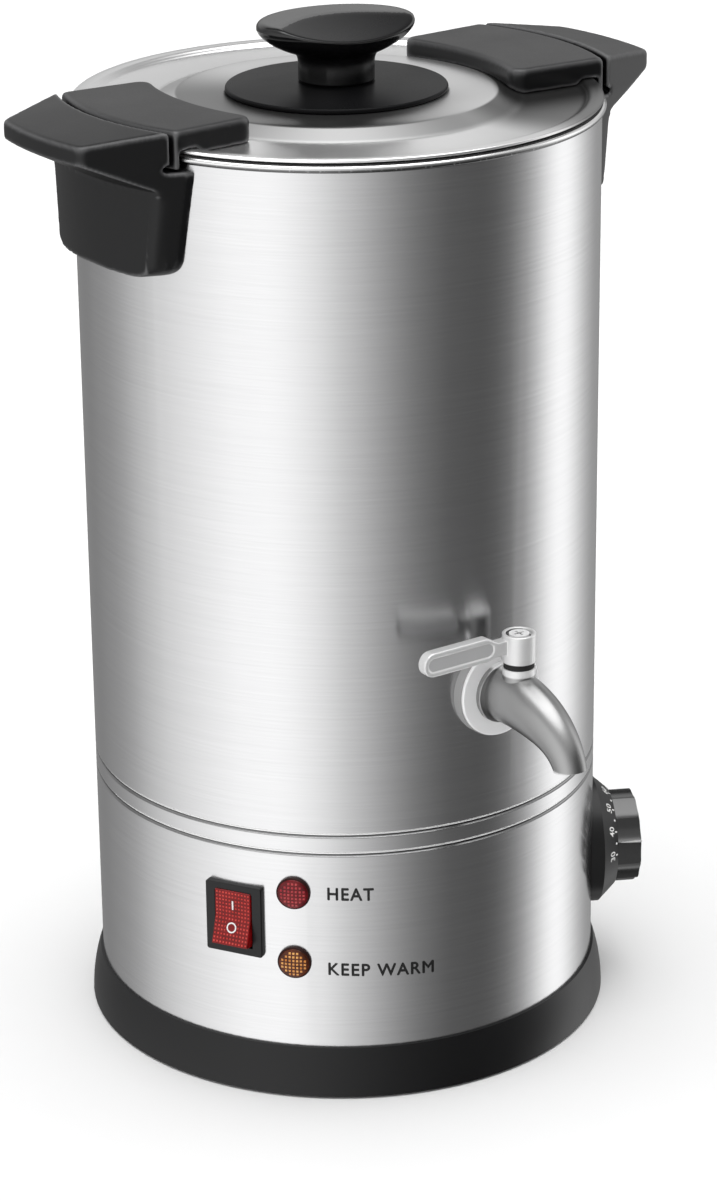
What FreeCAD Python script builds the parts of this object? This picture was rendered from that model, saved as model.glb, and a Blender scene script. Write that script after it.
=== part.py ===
import FreeCAD, Part

import math
import os

from FreeCAD import Vector

# Candle wax melter: a double-walled pot with a tap, a twist-on lid and an electric base.
# Millimetres, +Z up.  The origin is on the pot's axis, on the surface that it stands on.
# The tap points along -Y, and the two handles lie on the X axis.

os.makedirs("parts", exist_ok=True)

# ---------------------------------------------------------------- driving dimensions

# fits shared by many pieces
seat_gap = 0.05          # between pieces that seat on each other round a curve
running_gap = 0.04       # radial play of everything that turns
hole_play = 0.25         # radial play of a screw in its hole
screw_tip_room = 0.5     # from a screw's tip to the bottom of its hole

# base ring and floor
foot_proud = 1.0         # rubber foot below the base ring
foot_sink = 2.0          # rubber foot inside its groove
foot_width = 3.0
base_height = 21.8       # base ring, without the foot
base_flare = 5.1         # base ring's foot beyond the shell
base_lip = 1.1           # base ring's top lip beyond the shell
base_crown = 0.9         # how far the flared side bulges
base_skirt = 4.0         # skirt below the floor plate
base_web = 3.0           # thickness of the inner flange
base_flange_width = 12.0
base_shoulder = 1.5      # ledge that the shell stands on, inside the shell
floor_plate_inset = 2.0  # from the shell's inside to the floor plate's edge
shell_socket_depth = 6.8  # how deep the shell sits in the base ring
floor_plate_thickness = 1.2
floor_screw_inset = 8.0  # from the shell's inside to the floor screws
floor_screw_count = 4
boss_radius = 4.5
boss_height = 9.0
boss_cap = 1.0           # closed end of each boss
floor_screw_head_height = 2.0
vent_count = 16
vent_length = 22.0
vent_width = 3.0
vent_circle_radius = 70.0

# outer shell
shell_radius = 112.5
shell_wall = 0.8
lower_bead_height = 114.8
bead_spacing = 8.7
bead_depth = 0.8
bead_half_width = 1.2

# inner pot and its rolled rim
pot_gap = 5.0            # air between the pot and the shell's outer face
pot_wall = 1.0
pot_corner_radius = 9.0
pot_floor_height = 160.0
rim_roll_radius = 1.5
rim_roll_overhang = 1.8  # rim beyond the shell
rim_top = 415.1

# heating parts under the pot
spreader_radius = 70.0
spreader_thickness = 6.0
element_ring_radius = 52.0
element_tube_radius = 3.6
element_elbow = 0.3      # element is thicker by this at its elbows
element_opening = 40.0   # degrees left open between the two cold ends
element_leg = 22.0
element_pin_radius = 1.6
element_pin_length = 9.0
clamp_radius = 58.0
clamp_thickness = 1.5
stud_radius = 3.0
stud_engagement = 4.0
stud_nut_radius = 5.5
stud_nut_height = 3.0
cutout_radius = 8.0
cutout_offset = 30.0
separator_thickness = 0.8
separator_flange = 6.0
separator_hole_radius = 9.0

# lid
lid_sheet = 0.8
lid_rise = 2.5           # lid's brim above the rim
lid_recess = 2.2         # lid's flat below its brim
lid_recess_gap = 1.3     # from the foot of the recess to the pot's wall
lid_recess_bend = 0.33   # underside of the recess further out than its top
lid_hem_radius = 0.9
lid_hem_overhang = 0.6   # hem beyond the shell
lid_step_inset = 33.0    # from the shell to the step in the crown
lid_step_width = 12.0
lid_step_height = 4.4
skirt_gap = 1.5          # locating ring inside the pot's wall
skirt_depth = 9.8
skirt_sheet = 0.8
skirt_flange = 6.0       # locating ring's flange under the lid
gasket_width = 3.1
gasket_inset = 0.4       # gasket inside the hem

# lid knob
knob_disc_radius = 47.5
knob_disc_edge = 2.3
knob_disc_crown = 2.0
knob_stem_radius = 16.3
knob_stem_height = 12.0
knob_half_length = 35.3
knob_half_width = 27.0
knob_head_height = 14.9
knob_scoop_radius = 180.0
knob_scoop_tilt = 9.0
knob_scoop_depth = 5.6   # at the front lip
knob_turn = -7.0         # degrees, as its screw has left it
knob_screw_radius = 2.5
knob_screw_depth = 12.0
knob_screw_head = 5.0
knob_screw_head_height = 3.0
knob_spigot_inset = 2.0  # stem's foot inside the disc is thinner by this
knob_spigot_depth = 0.6
knob_washer_radius = 9.0
knob_washer_thickness = 1.2

# handles and lid ears
handle_ledge_drop = 5.6  # ledge in the slot below the rim
handle_rise = 16.5       # top above the ledge
handle_pad_height = 45.5
handle_slope = 4.0       # fall of the top towards the tip
handle_reach = 36.0      # tip beyond the shell
handle_tip_face = 7.5
handle_root_drop = 9.0   # wing's underside at the pad below the ledge
handle_slot_reach = 7.1  # slot's outer wall beyond the shell
handle_pad = 10.6        # thickness of the pad on the shell
handle_lip = 2.2         # wing's underside starts this far inside the pad's outer face
handle_pad_taper = 6.0   # how far each end of the pad draws in from its top to its foot
handle_corner_radius = 9.0
wing_root = 3.0          # how deep the wing is fused into the pad
wing_half_width = 44.6   # at the slot
wing_tip_half_width = 30.5
wing_corner_radius = 5.0
handle_edge_radius = 1.6
undercut_height = 2.6
undercut_depth = 2.0
handle_screw_radius = 2.0
handle_screw_head = 3.8
handle_screw_head_height = 2.2
handle_screw_depth = 4.5
handle_screw_spread = 46.0
handle_screw_rise = 21.0  # above the pad's bottom
ear_gap = 2.1            # between ear and handle
ear_leg = 2.1
ear_leg_play = 0.8       # leg above the ledge
left_ear_length = 37.0   # inner end of each ear, from the shell
right_ear_length = 42.5
ear_inner_half_width = 42.0
ear_inner_arc = 110.0
ear_corner_radius = 5.5
ear_edge_radius = 2.2
ear_screw_radius = 2.0
ear_screw_head = 3.6
ear_screw_head_height = 2.0
ear_screw_depth = 5.0
ear_screw_spread = 40.0
ear_screw_room = 1.0     # from the screw heads to the locating ring

# tap
tap_rise = 22.9          # tap's axis above the pot's floor
tap_barrel_half_width = 10.8
tap_barrel_half_height = 12.6
tap_collar_radius = 13.4
tap_collar_thickness = 2.5
tap_collar_edge = 0.5
tap_shank_radius = 9.0
tap_bore_radius = 4.6
tap_shank_inside = 12.0  # shank inside the pot's wall
tap_seal_radius = 20.4
tap_seal_thickness = 3.2
tap_washer_radius = 20.0
tap_washer_thickness = 1.5
tap_washer_edge = 0.7
tap_inner_seal_radius = 14.5
tap_inner_seal_thickness = 3.0
tap_nut_radius = 14.5
tap_nut_length = 6.0
tap_valve_reach = 16.6   # valve axis in front of the shell
tap_outlet_reach = 52.0  # outlet in front of the shell
tap_outlet_drop = 20.0   # outlet below the tap's axis
tap_outlet_radius = 7.0
tap_outlet_straight = 5.5
tap_neck_radius = 7.0
tap_neck_top = 15.1      # above the tap's axis
tap_plug_radius = 4.2
tap_plug_port = 2.8
tap_plug_depth = 8.0
tap_plug_gap = 0.3       # under the plug
tap_stem_radius = 3.0
tap_seal_ring_height = 2.6
tap_seal_ring_radius = 6.5
lever_hub_radius = 7.3
lever_hub_height = 12.6
lever_length = 49.5
lever_rise = 8.6         # blade's centre line above the hub's foot
lever_neck_low = 4.4     # blade's neck at the hub
lever_neck_high = 10.6
lever_neck_length = 11.4
lever_shoulder = 5.5
lever_set_back = 1.3     # blade behind the hub's axis
lever_height = 10.6
lever_thickness = 5.2
lever_panel_depth = 0.7
lever_panel_margin = 2.0
lever_recess_radius = 5.6
lever_recess_depth = 1.6
lever_screw_head = 4.3
lever_screw_sunk = 0.3   # head below the hub's top
lever_screw_shank = 1.9
lever_screw_length = 4.0  # of its shank, with the head's sunk part
lever_screw_slot = 5.0   # length of each slot of its cross
lever_screw_slot_width = 1.0
lever_screw_slot_depth = 0.8

# temperature dial
dial_angle = 63.1
dial_height = 62.5
dial_radius = 29.5
dial_rim = 2.6
dial_depth = 10.2
dial_top_radius = 22.6
dial_floor = 2.0
dial_well_radius = 19.0
dial_bore_radius = 8.0
dial_knob_radius = 21.4
dial_knob_length = 10.8
dial_knob_gap = 0.4
dial_knob_flutes = 12
dial_flute_radius = 20.0
dial_flute_depth = 1.5
dial_pointer = 164.5     # flute edge that points at the scale, degrees up from the right
dial_knob_wall = 2.4
dial_hub_radius = 6.0
dial_shaft_radius = 3.0
dial_screw_spread = 28.0
dial_screw_radius = 2.0
dial_screw_head = 3.5
dial_screw_head_height = 2.0
thermostat_width = 33.0
thermostat_height = 40.0
thermostat_depth = 24.0
thermostat_nose = 5.0
thermostat_screw_depth = 7.0
bulb_radius = 2.5
bulb_start = 16.0        # inner end of the bulb's bore
bulb_length = 46.0
capillary_radius = 0.8
capillary_room = 8.4     # capillary's upright run behind the thermostat

# rocker switch
switch_angle = -59.8
switch_height = 80.8
switch_width = 26.6
switch_length = 32.8
switch_face = 2.0
switch_body_width = 21.6
switch_body_length = 28.2
switch_body_depth = 19.0
switch_window_width = 17.8
switch_window_length = 25.4
rocker_gap = 0.4
rocker_tilt = 10.0
rocker_pivot_depth = 3.2
rocker_pin_radius = 1.5
rocker_crest = 2.8        # middle of the rocker's face in front of the shell
rocker_end = 2.0         # its two ends in front of its middle
rocker_back = 4.5        # its back behind the pin
rocker_back_inset = 3.0
tab_width = 4.8
tab_thickness = 0.8
tab_length = 9.0

# lamps
lamp_angle = -46.2
upper_lamp_height = 96.3
lower_lamp_height = 63.4
lamp_radius = 7.4
lamp_rim = 1.6
lamp_lens_radius = 5.9
lamp_lens_proud = 2.6
lamp_body_radius = 5.4
lamp_body_depth = 20.0
lamp_nut_radius = 8.2
lamp_nut_height = 3.0

# mains inlet
inlet_height = 56.0
inlet_width = 24.0
inlet_length = 50.0
inlet_face = 2.6
inlet_body_width = 20.0
inlet_body_length = 27.0
inlet_body_depth = 22.0
inlet_socket_width = 16.6
inlet_socket_length = 24.0
inlet_socket_depth = 16.0
inlet_pin_width = 4.0
inlet_pin_thickness = 2.0
inlet_pin_length = 14.0
inlet_pin_spread = 7.0
inlet_pin_rise = 3.5
inlet_screw_spread = 40.0
inlet_screw_radius = 1.5
inlet_screw_head = 2.9
inlet_screw_head_height = 1.5
inlet_nut_radius = 3.2
inlet_nut_height = 2.4

# wiring
wire_radius = 1.2
block_width = 34.0
block_depth = 18.0
block_height = 15.0
block_inset = 40.5       # block's middle from the shell
block_angle = 150.0
block_ways = 4
block_screw_radius = 1.8
wire_level = 30.0

# ---------------------------------------------------------------- derived dimensions

shell_inside = shell_radius - shell_wall
plate_radius = shell_inside - floor_plate_inset
pot_radius = shell_radius - pot_gap
pot_inside = pot_radius - pot_wall
base_top = foot_proud + base_height
shell_bottom = base_top - shell_socket_depth
floor_top = foot_proud + base_skirt
floor_bottom = floor_top - floor_plate_thickness
web_top = floor_top + base_web
rim_radius = shell_radius + rim_roll_overhang - rim_roll_radius
rim_height = rim_top - rim_roll_radius
shell_top = rim_height - rim_roll_radius - seat_gap
spreader_bottom = pot_floor_height - spreader_thickness
element_height = spreader_bottom - element_tube_radius - element_elbow
clamp_top = element_height - element_tube_radius - element_elbow
clamp_bottom = clamp_top - clamp_thickness
separator_top = lower_bead_height + bead_spacing - bead_half_width - seat_gap
tap_height = pot_floor_height + tap_rise
valve_reach = shell_radius + tap_valve_reach
washer_start = shell_radius + tap_seal_thickness
collar_start = washer_start + tap_washer_thickness
bulb_height = spreader_bottom + spreader_thickness / 2
thermostat_front = math.sqrt(shell_inside ** 2 - (thermostat_width / 2) ** 2) - seat_gap
lid_top = rim_top + lid_rise
lid_step_outer = shell_radius - lid_step_inset
lid_step_inner = lid_step_outer - lid_step_width
skirt_radius = pot_inside - skirt_gap
block_reach = shell_radius - block_inset
capillary_reach = thermostat_front - thermostat_depth - capillary_room
hem_radius = shell_radius + lid_hem_overhang - lid_hem_radius
lid_under = lid_top - lid_sheet
lid_flat = lid_top - lid_recess
lid_flat_under = lid_flat - lid_sheet
recess_foot = pot_inside - lid_recess_gap - lid_recess_bend
recess_edge = recess_foot + lid_recess
lid_crown = lid_flat + lid_step_height
disc_top = lid_crown + knob_disc_edge
stem_foot = disc_top + knob_disc_crown - knob_spigot_depth
head_foot = stem_foot + knob_stem_height
handle_ledge = rim_top - handle_ledge_drop
handle_top = handle_ledge + handle_rise
handle_bottom = handle_ledge - handle_pad_height
handle_root_height = handle_ledge - handle_root_drop
handle_screw_height = handle_bottom + handle_screw_rise
slot_radius = shell_radius + handle_slot_reach
ear_radius = slot_radius - ear_gap
tip_radius = shell_radius + handle_reach
ear_screw_reach = math.sqrt((skirt_radius - skirt_flange - ear_screw_head - ear_screw_room) ** 2
                            - (ear_screw_spread / 2) ** 2)
Z = Vector(0, 0, 1)
ORIGIN = Vector(0, 0, 0)


# ---------------------------------------------------------------- shape helpers

def polar(radius, degrees):
    turn = math.radians(degrees)
    return Vector(radius * math.cos(turn), radius * math.sin(turn), 0)


def profile(start, *steps):
    """A closed face in the XZ plane: each step is (r, z), or ((r, z), (r, z)) for an arc."""
    edges = []
    here = Vector(start[0], 0, start[1])
    for step in steps + (start,):
        if isinstance(step[0], tuple):
            middle = Vector(step[0][0], 0, step[0][1])
            there = Vector(step[1][0], 0, step[1][1])
            edges.append(Part.Arc(here, middle, there).toShape())
        else:
            there = Vector(step[0], 0, step[1])
            if here.distanceToPoint(there) > 1e-6:
                edges.append(Part.LineSegment(here, there).toShape())
        here = there
    return Part.Face(Part.Wire(edges))


def turned(face, degrees=360.0):
    """The face turned about the pot's axis, centred on +X when it isn't a full turn."""
    solid = face.revolve(ORIGIN, Z, degrees)
    if degrees < 360.0:
        solid.rotate(ORIGIN, Z, -degrees / 2)
    return solid


def ring(inner, outer, low, high):
    disc = Part.makeCylinder(outer, high - low, Vector(0, 0, low))
    if inner <= 0:
        return disc
    return disc.cut(Part.makeCylinder(inner, high - low, Vector(0, 0, low)))


def rod(radius, near, far, y=0.0, z=0.0):
    """A round bar along +X."""
    return Part.makeCylinder(radius, far - near, Vector(near, y, z), Vector(1, 0, 0))


def upright(radius, low, high, x=0.0, y=0.0):
    return Part.makeCylinder(radius, high - low, Vector(x, y, low))


def block(near, far, width, low, high, y=0.0):
    return Part.makeBox(far - near, width, high - low, Vector(near, y - width / 2, low))


def facing(shape, angle, height=0.0):
    """Turns a piece modelled to point along +X so that it points at this angle from the tap."""
    placed = shape.copy()
    placed.rotate(ORIGIN, Z, angle - 90.0)
    placed.translate(Vector(0, 0, height))
    return placed


def mirrored(shape):
    return shape.mirror(ORIGIN, Vector(1, 0, 0))


def prism(points, low, high):
    """An upright prism over a polygon of (x, y) points."""
    corners = [Vector(x, y, low) for x, y in points]
    face = Part.Face(Part.makePolygon(corners + corners[:1]))
    return face.extrude(Vector(0, 0, high - low))


def rounded(shape, radius, chosen):
    """Fillets the edges that the test picks."""
    edges = [edge for edge in shape.Edges if chosen(edge)]
    return shape.makeFillet(radius, edges)


def is_upright(edge):
    if not isinstance(edge.Curve, Part.Line):
        return False
    return abs(edge.Curve.Direction.z) > 0.999


def bent_tube(points, radius):
    """A tube along straight runs that are joined by the largest arcs the runs allow."""
    corners = [Vector(p) for p in points]
    edges = []
    here = corners[0]
    for before, corner, after in zip(corners, corners[1:], corners[2:]):
        back = (before - corner).normalize()
        ahead = (after - corner).normalize()
        shorter = min((before - corner).Length, (after - corner).Length)
        setback = 0.45 * shorter
        half_turn = (math.pi - back.getAngle(ahead)) / 2
        bend = setback / math.tan(half_turn)
        centre_way = (back + ahead).normalize()
        centre = corner + centre_way * math.hypot(setback, bend)
        start = corner + back * setback
        end = corner + ahead * setback
        middle = centre - centre_way * bend
        edges.append(Part.LineSegment(here, start).toShape())
        edges.append(Part.Arc(start, middle, end).toShape())
        here = end
    edges.append(Part.LineSegment(here, corners[-1]).toShape())
    path = Part.Wire(edges)
    circle = Part.Wire(Part.makeCircle(radius, corners[0], corners[1] - corners[0]))
    return path.makePipeShell([circle], True, True)


def hexagon(radius, low, high, x=0.0, y=0.0):
    """A hexagonal nut blank, radius across its corners."""
    corners = []
    for k in range(6):
        turn = math.radians(60 * k)
        corners.append((x + radius * math.cos(turn), y + radius * math.sin(turn)))
    return prism(corners, low, high)


nodes = {}


def piece(name, *solids):
    nodes[name] = solids[0] if len(solids) == 1 else Part.makeCompound(list(solids))


# ---------------------------------------------------------------- base ring, foot and floor

def base_ring():
    """Moulded ring under the shell, with an inner flange for the floor plate."""
    foot_radius = shell_radius + base_flare
    lip_radius = shell_radius + base_lip
    socket_radius = shell_radius + seat_gap
    shoulder = shell_inside - base_shoulder
    middle_radius = (foot_radius + lip_radius) / 2 + base_crown
    middle_height = foot_proud + base_height / 2
    body = turned(profile(
        (foot_radius, foot_proud),
        ((middle_radius, middle_height), (lip_radius, base_top)),
        (socket_radius, base_top),
        (socket_radius, shell_bottom - seat_gap),
        (shoulder, shell_bottom - seat_gap),
        (shoulder, web_top),
        (shoulder - base_flange_width, web_top),
        (shoulder - base_flange_width, floor_top + seat_gap),
        (plate_radius + seat_gap, floor_top + seat_gap),
        (plate_radius + seat_gap, foot_proud)))
    for x, y in floor_screw_places():
        body = body.fuse(upright(boss_radius, web_top, web_top + boss_height, x, y))
        body = body.cut(upright(handle_screw_radius, floor_top, web_top + boss_height - boss_cap, x, y))
    middle = (foot_radius + plate_radius) / 2
    groove = ring(middle - foot_width / 2, middle + foot_width / 2, foot_proud, foot_proud + foot_sink)
    return body.cut(groove).removeSplitter()


def floor_screw_places():
    places = []
    for k in range(floor_screw_count):
        turn = math.radians(45 + 360 * k / floor_screw_count)
        reach = shell_inside - floor_screw_inset
        places.append((reach * math.cos(turn), reach * math.sin(turn)))
    return places


def foot_ring():
    middle = (shell_radius + base_flare + plate_radius) / 2
    return ring(middle - foot_width / 2, middle + foot_width / 2, 0, foot_proud + foot_sink)


def floor_plate():
    """Steel plate with a ring of vent slots, held up into the base ring by screws."""
    plate = ring(stud_radius + hole_play, plate_radius, floor_bottom, floor_top)
    for x, y in floor_screw_places():
        plate = plate.cut(upright(handle_screw_radius + hole_play, floor_bottom, floor_top, x, y))
    slot = block(vent_circle_radius - vent_length / 2, vent_circle_radius + vent_length / 2,
                 vent_width, floor_bottom, floor_top)
    for k in range(vent_count):
        cut = slot.copy()
        cut.rotate(ORIGIN, Z, 360.0 * k / vent_count)
        plate = plate.cut(cut)
    return plate


def pan_head_screw(x, y, head_low, head_high, tip, shank=handle_screw_radius, head=handle_screw_head):
    return upright(head, head_low, head_high, x, y).fuse(upright(shank, head_high, tip, x, y))


piece("base_ring", base_ring())
piece("rubber_foot_ring", foot_ring())
piece("floor_plate", floor_plate())
piece("floor_screws", *[
    pan_head_screw(x, y, floor_bottom - floor_screw_head_height, floor_bottom,
                   web_top + boss_height - boss_cap - screw_tip_room)
    for x, y in floor_screw_places()])


# ---------------------------------------------------------------- openings in the shell

def shell_openings():
    """Everything that passes through the shell's wall."""
    near = shell_inside - 6
    far = shell_radius + 6
    cuts = [facing(rod(tap_shank_radius + hole_play, near, far), 0, tap_height)]
    window = block(near, far, switch_body_width + 2 * hole_play,
                   -switch_body_length / 2 - hole_play, switch_body_length / 2 + hole_play)
    cuts.append(facing(window, switch_angle, switch_height))
    for height in (upper_lamp_height, lower_lamp_height):
        cuts.append(facing(rod(lamp_body_radius + hole_play, near, far), lamp_angle, height))
    cuts.append(facing(rod(thermostat_nose + hole_play, near, far), dial_angle, dial_height))
    for side in (-1, 1):
        cuts.append(facing(rod(dial_screw_radius + hole_play, near, far, y=side * dial_screw_spread / 2),
                           dial_angle, dial_height))
        cuts.append(facing(rod(inlet_screw_radius + hole_play, near, far, z=side * inlet_screw_spread / 2),
                           180, inlet_height))
    port = block(near, far, inlet_body_width + 2 * hole_play,
                 -inlet_body_length / 2 - hole_play, inlet_body_length / 2 + hole_play)
    cuts.append(facing(port, 180, inlet_height))
    for handle in (-90, 90):
        for side in (-1, 1):
            cuts.append(facing(rod(handle_screw_radius + hole_play, near, far,
                                   y=side * handle_screw_spread / 2), handle, handle_screw_height))
    return cuts


# ---------------------------------------------------------------- outer shell

def bead_steps(radius, heights, half_width):
    steps = []
    for height in heights:
        way = 1 if heights[0] < heights[-1] else -1
        steps.append((radius, height - way * half_width))
        steps.append(((radius - bead_depth, height), (radius, height + way * half_width)))
    return steps


def outer_shell():
    """Rolled and brushed steel tube with two beads that hold the separator plate."""
    beads = [lower_bead_height, lower_bead_height + bead_spacing]
    body = turned(profile(
        (shell_radius, shell_bottom),
        *bead_steps(shell_radius, beads, bead_half_width),
        (shell_radius, shell_top),
        (shell_inside, shell_top),
        *bead_steps(shell_inside, beads[::-1], bead_half_width),
        (shell_inside, shell_bottom)))
    for opening in shell_openings():
        body = body.cut(opening)
    return body


piece("outer_shell", outer_shell())


# ---------------------------------------------------------------- inner pot

def inner_pot():
    """Deep-drawn steel pot that hangs in the shell by its rolled rim."""
    centre = pot_radius - pot_corner_radius
    corner = pot_corner_radius * math.sqrt(0.5)
    inner_corner = (pot_corner_radius - pot_wall) * math.sqrt(0.5)
    turn_height = pot_floor_height + pot_corner_radius
    flange_bottom = rim_top - pot_wall
    body = turned(profile(
        (0, pot_floor_height),
        (centre, pot_floor_height),
        ((centre + corner, turn_height - corner), (pot_radius, turn_height)),
        (pot_radius, flange_bottom),
        (rim_radius, flange_bottom),
        (rim_radius, rim_top),
        (pot_inside, rim_top),
        (pot_inside, turn_height),
        ((centre + inner_corner, turn_height - inner_corner), (centre, pot_floor_height + pot_wall)),
        (0, pot_floor_height + pot_wall)))
    roll = Part.makeTorus(rim_radius, rim_roll_radius, Vector(0, 0, rim_height))
    body = body.fuse(roll)
    bore = facing(rod(tap_shank_radius + hole_play, pot_inside - 6, pot_radius + 2), 0, tap_height)
    return body.cut(bore).removeSplitter()


piece("inner_pot", inner_pot())


# ---------------------------------------------------------------- heating parts

def element_ends():
    """Where the heating element's two cold ends turn down."""
    ends = []
    for side in (-1, 1):
        turn = math.radians(side * element_opening / 2)
        ends.append((element_ring_radius * math.cos(turn), element_ring_radius * math.sin(turn)))
    return ends


def heating_element():
    """Sheathed element bent to an open ring, with two legs that end in pins."""
    circle = Part.Face(Part.Wire(Part.makeCircle(
        element_tube_radius, Vector(element_ring_radius, 0, element_height), Vector(0, 1, 0))))
    body = circle.revolve(ORIGIN, Z, 360 - element_opening)
    body.rotate(ORIGIN, Z, element_opening / 2)
    foot = element_height - element_leg
    for x, y in element_ends():
        body = body.fuse(Part.makeSphere(element_tube_radius + element_elbow, Vector(x, y, element_height)))
        body = body.fuse(upright(element_tube_radius, foot, element_height, x, y))
        body = body.fuse(upright(element_pin_radius, foot - element_pin_length, foot, x, y))
    return body.removeSplitter()


def clamp_plate():
    plate = ring(stud_radius + hole_play, clamp_radius, clamp_bottom, clamp_top)
    for x, y in element_ends():
        plate = plate.cut(upright(element_tube_radius + 2, clamp_bottom, clamp_top, x, y))
    return plate


def separator_plate():
    """Steel plate that keeps the heat above the controls; its flange sits between the shell's beads."""
    outer = shell_inside - seat_gap
    plate = ring(stud_radius + hole_play, outer, separator_top - separator_thickness, separator_top)
    plate = plate.fuse(ring(outer - separator_thickness, outer,
                            separator_top - separator_flange, separator_top))
    for x, y in element_ends():
        plate = plate.cut(upright(separator_hole_radius, 0, separator_top, x, y))
    x, y = capillary_hole()
    return plate.cut(upright(separator_hole_radius / 2, 0, separator_top, x, y))


def capillary_hole():
    """Where the thermostat's capillary passes through the separator plate."""
    place = polar(capillary_reach, dial_angle - 90)
    return place.x, place.y


def heat_spreader():
    """Cast disc under the pot, with a blind hole for the stud and a radial bore for the bulb."""
    disc = ring(0, spreader_radius, spreader_bottom, pot_floor_height)
    disc = disc.cut(upright(stud_radius, spreader_bottom, spreader_bottom + stud_engagement))
    return disc.cut(facing(rod(bulb_radius, bulb_start, spreader_radius + 1), dial_angle, bulb_height))


def capillary():
    """Thin copper tube from the back of the thermostat up to the bulb."""
    low = dial_height + thermostat_height / 4
    route = [Vector(thermostat_front - thermostat_depth, 0, low), Vector(capillary_reach, 0, low),
             Vector(capillary_reach, 0, bulb_height), Vector(bulb_start + bulb_length, 0, bulb_height)]
    return facing(bent_tube(route, capillary_radius), dial_angle)


stud_bottom = floor_bottom - stud_nut_height - 0.2
piece("heat_spreader", heat_spreader())
piece("thermostat_bulb", facing(rod(bulb_radius, bulb_start, bulb_start + bulb_length), dial_angle, bulb_height))
piece("heating_element", heating_element())
piece("element_clamp", clamp_plate())
piece("centre_stud", upright(stud_radius, stud_bottom, spreader_bottom + stud_engagement))
piece("stud_nuts",
      hexagon(stud_nut_radius, clamp_bottom - stud_nut_height, clamp_bottom)
      .cut(upright(stud_radius, 0, clamp_bottom)),
      hexagon(stud_nut_radius, floor_bottom - stud_nut_height, floor_bottom)
      .cut(upright(stud_radius, 0, floor_bottom)))
piece("thermal_cutout", upright(cutout_radius, clamp_top, spreader_bottom, -cutout_offset, 0))
piece("separator_plate", separator_plate())


# ---------------------------------------------------------------- tap

def shell_skin(extra):
    """A bar of the shell's outer radius, for pieces that are cut to sit on the shell."""
    return upright(shell_radius + extra, -shell_radius, shell_radius)


def tap_stations():
    """Centre, direction, half width and half height of the spout's oval sections."""
    start = collar_start + tap_collar_thickness
    outlet = shell_radius + tap_outlet_reach
    run = outlet - start
    width_fall = tap_barrel_half_width - tap_outlet_radius
    height_fall = tap_barrel_half_height - tap_outlet_radius
    stations = []
    for share, drop, tilt, taper in (
            (0.00, 0.00, 0, 0.00),
            (0.25, 0.01, 3, 0.02),
            (0.50, 0.13, 22, 0.20),
            (0.74, 0.36, 42, 0.50),
            (0.90, 0.64, 62, 0.79),
            (1.00, 1.00, 80, 0.99)):
        angle = math.radians(tilt)
        stations.append((Vector(start + share * run, 0, -drop * tap_outlet_drop),
                         Vector(math.cos(angle), 0, -math.sin(angle)),
                         tap_barrel_half_width - taper * width_fall,
                         tap_barrel_half_height - taper * height_fall))
    return stations


def oval_section(centre, way, half_width, half_height):
    """An upright oval across the given direction."""
    across = Vector(0, 1, 0)
    top = centre + way.cross(across) * half_height
    return Part.Wire(Part.Ellipse(top, centre + across * half_width, centre).toShape())


def tap_body():
    """Cast barrel and spout with a collar and a threaded shank, modelled along +X at the tap's own axis."""
    stations = tap_stations()
    start = stations[0][0].x
    shank_end = pot_inside - tap_shank_inside
    body = Part.makeLoft([oval_section(*station) for station in stations], True, False)
    body = body.fuse(rod(tap_shank_radius, shank_end, start))
    collar = rod(tap_collar_radius, collar_start, start)
    body = body.fuse(rounded(collar, tap_collar_edge, lambda e: e.BoundBox.XMin > start - 0.1))
    body = body.fuse(upright(tap_neck_radius, 0, tap_neck_top, valve_reach))
    outlet, way = stations[-1][:2]
    route = [Vector(shank_end - 1, 0, 0), stations[2][0], stations[3][0]]
    route += [outlet - way * tap_outlet_straight, outlet + way * 2]
    body = body.cut(bent_tube(route, tap_bore_radius))
    body = body.cut(upright(tap_plug_radius + running_gap, -tap_plug_depth, tap_neck_top + 1, valve_reach))
    return body.removeSplitter()


def tap_plug():
    """Plug with a cross port; its stem carries the lever."""
    hub_bottom = tap_neck_top + tap_seal_ring_height + running_gap
    top = tap_neck_top - running_gap
    plug = upright(tap_plug_radius, -tap_plug_depth + tap_plug_gap, top, valve_reach)
    plug = plug.cut(rod(tap_plug_port, valve_reach - 2 * tap_plug_radius, valve_reach + 2 * tap_plug_radius))
    stem_top = hub_bottom + lever_hub_height - lever_screw_length
    return plug.fuse(upright(tap_stem_radius, top, stem_top, valve_reach))


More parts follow.
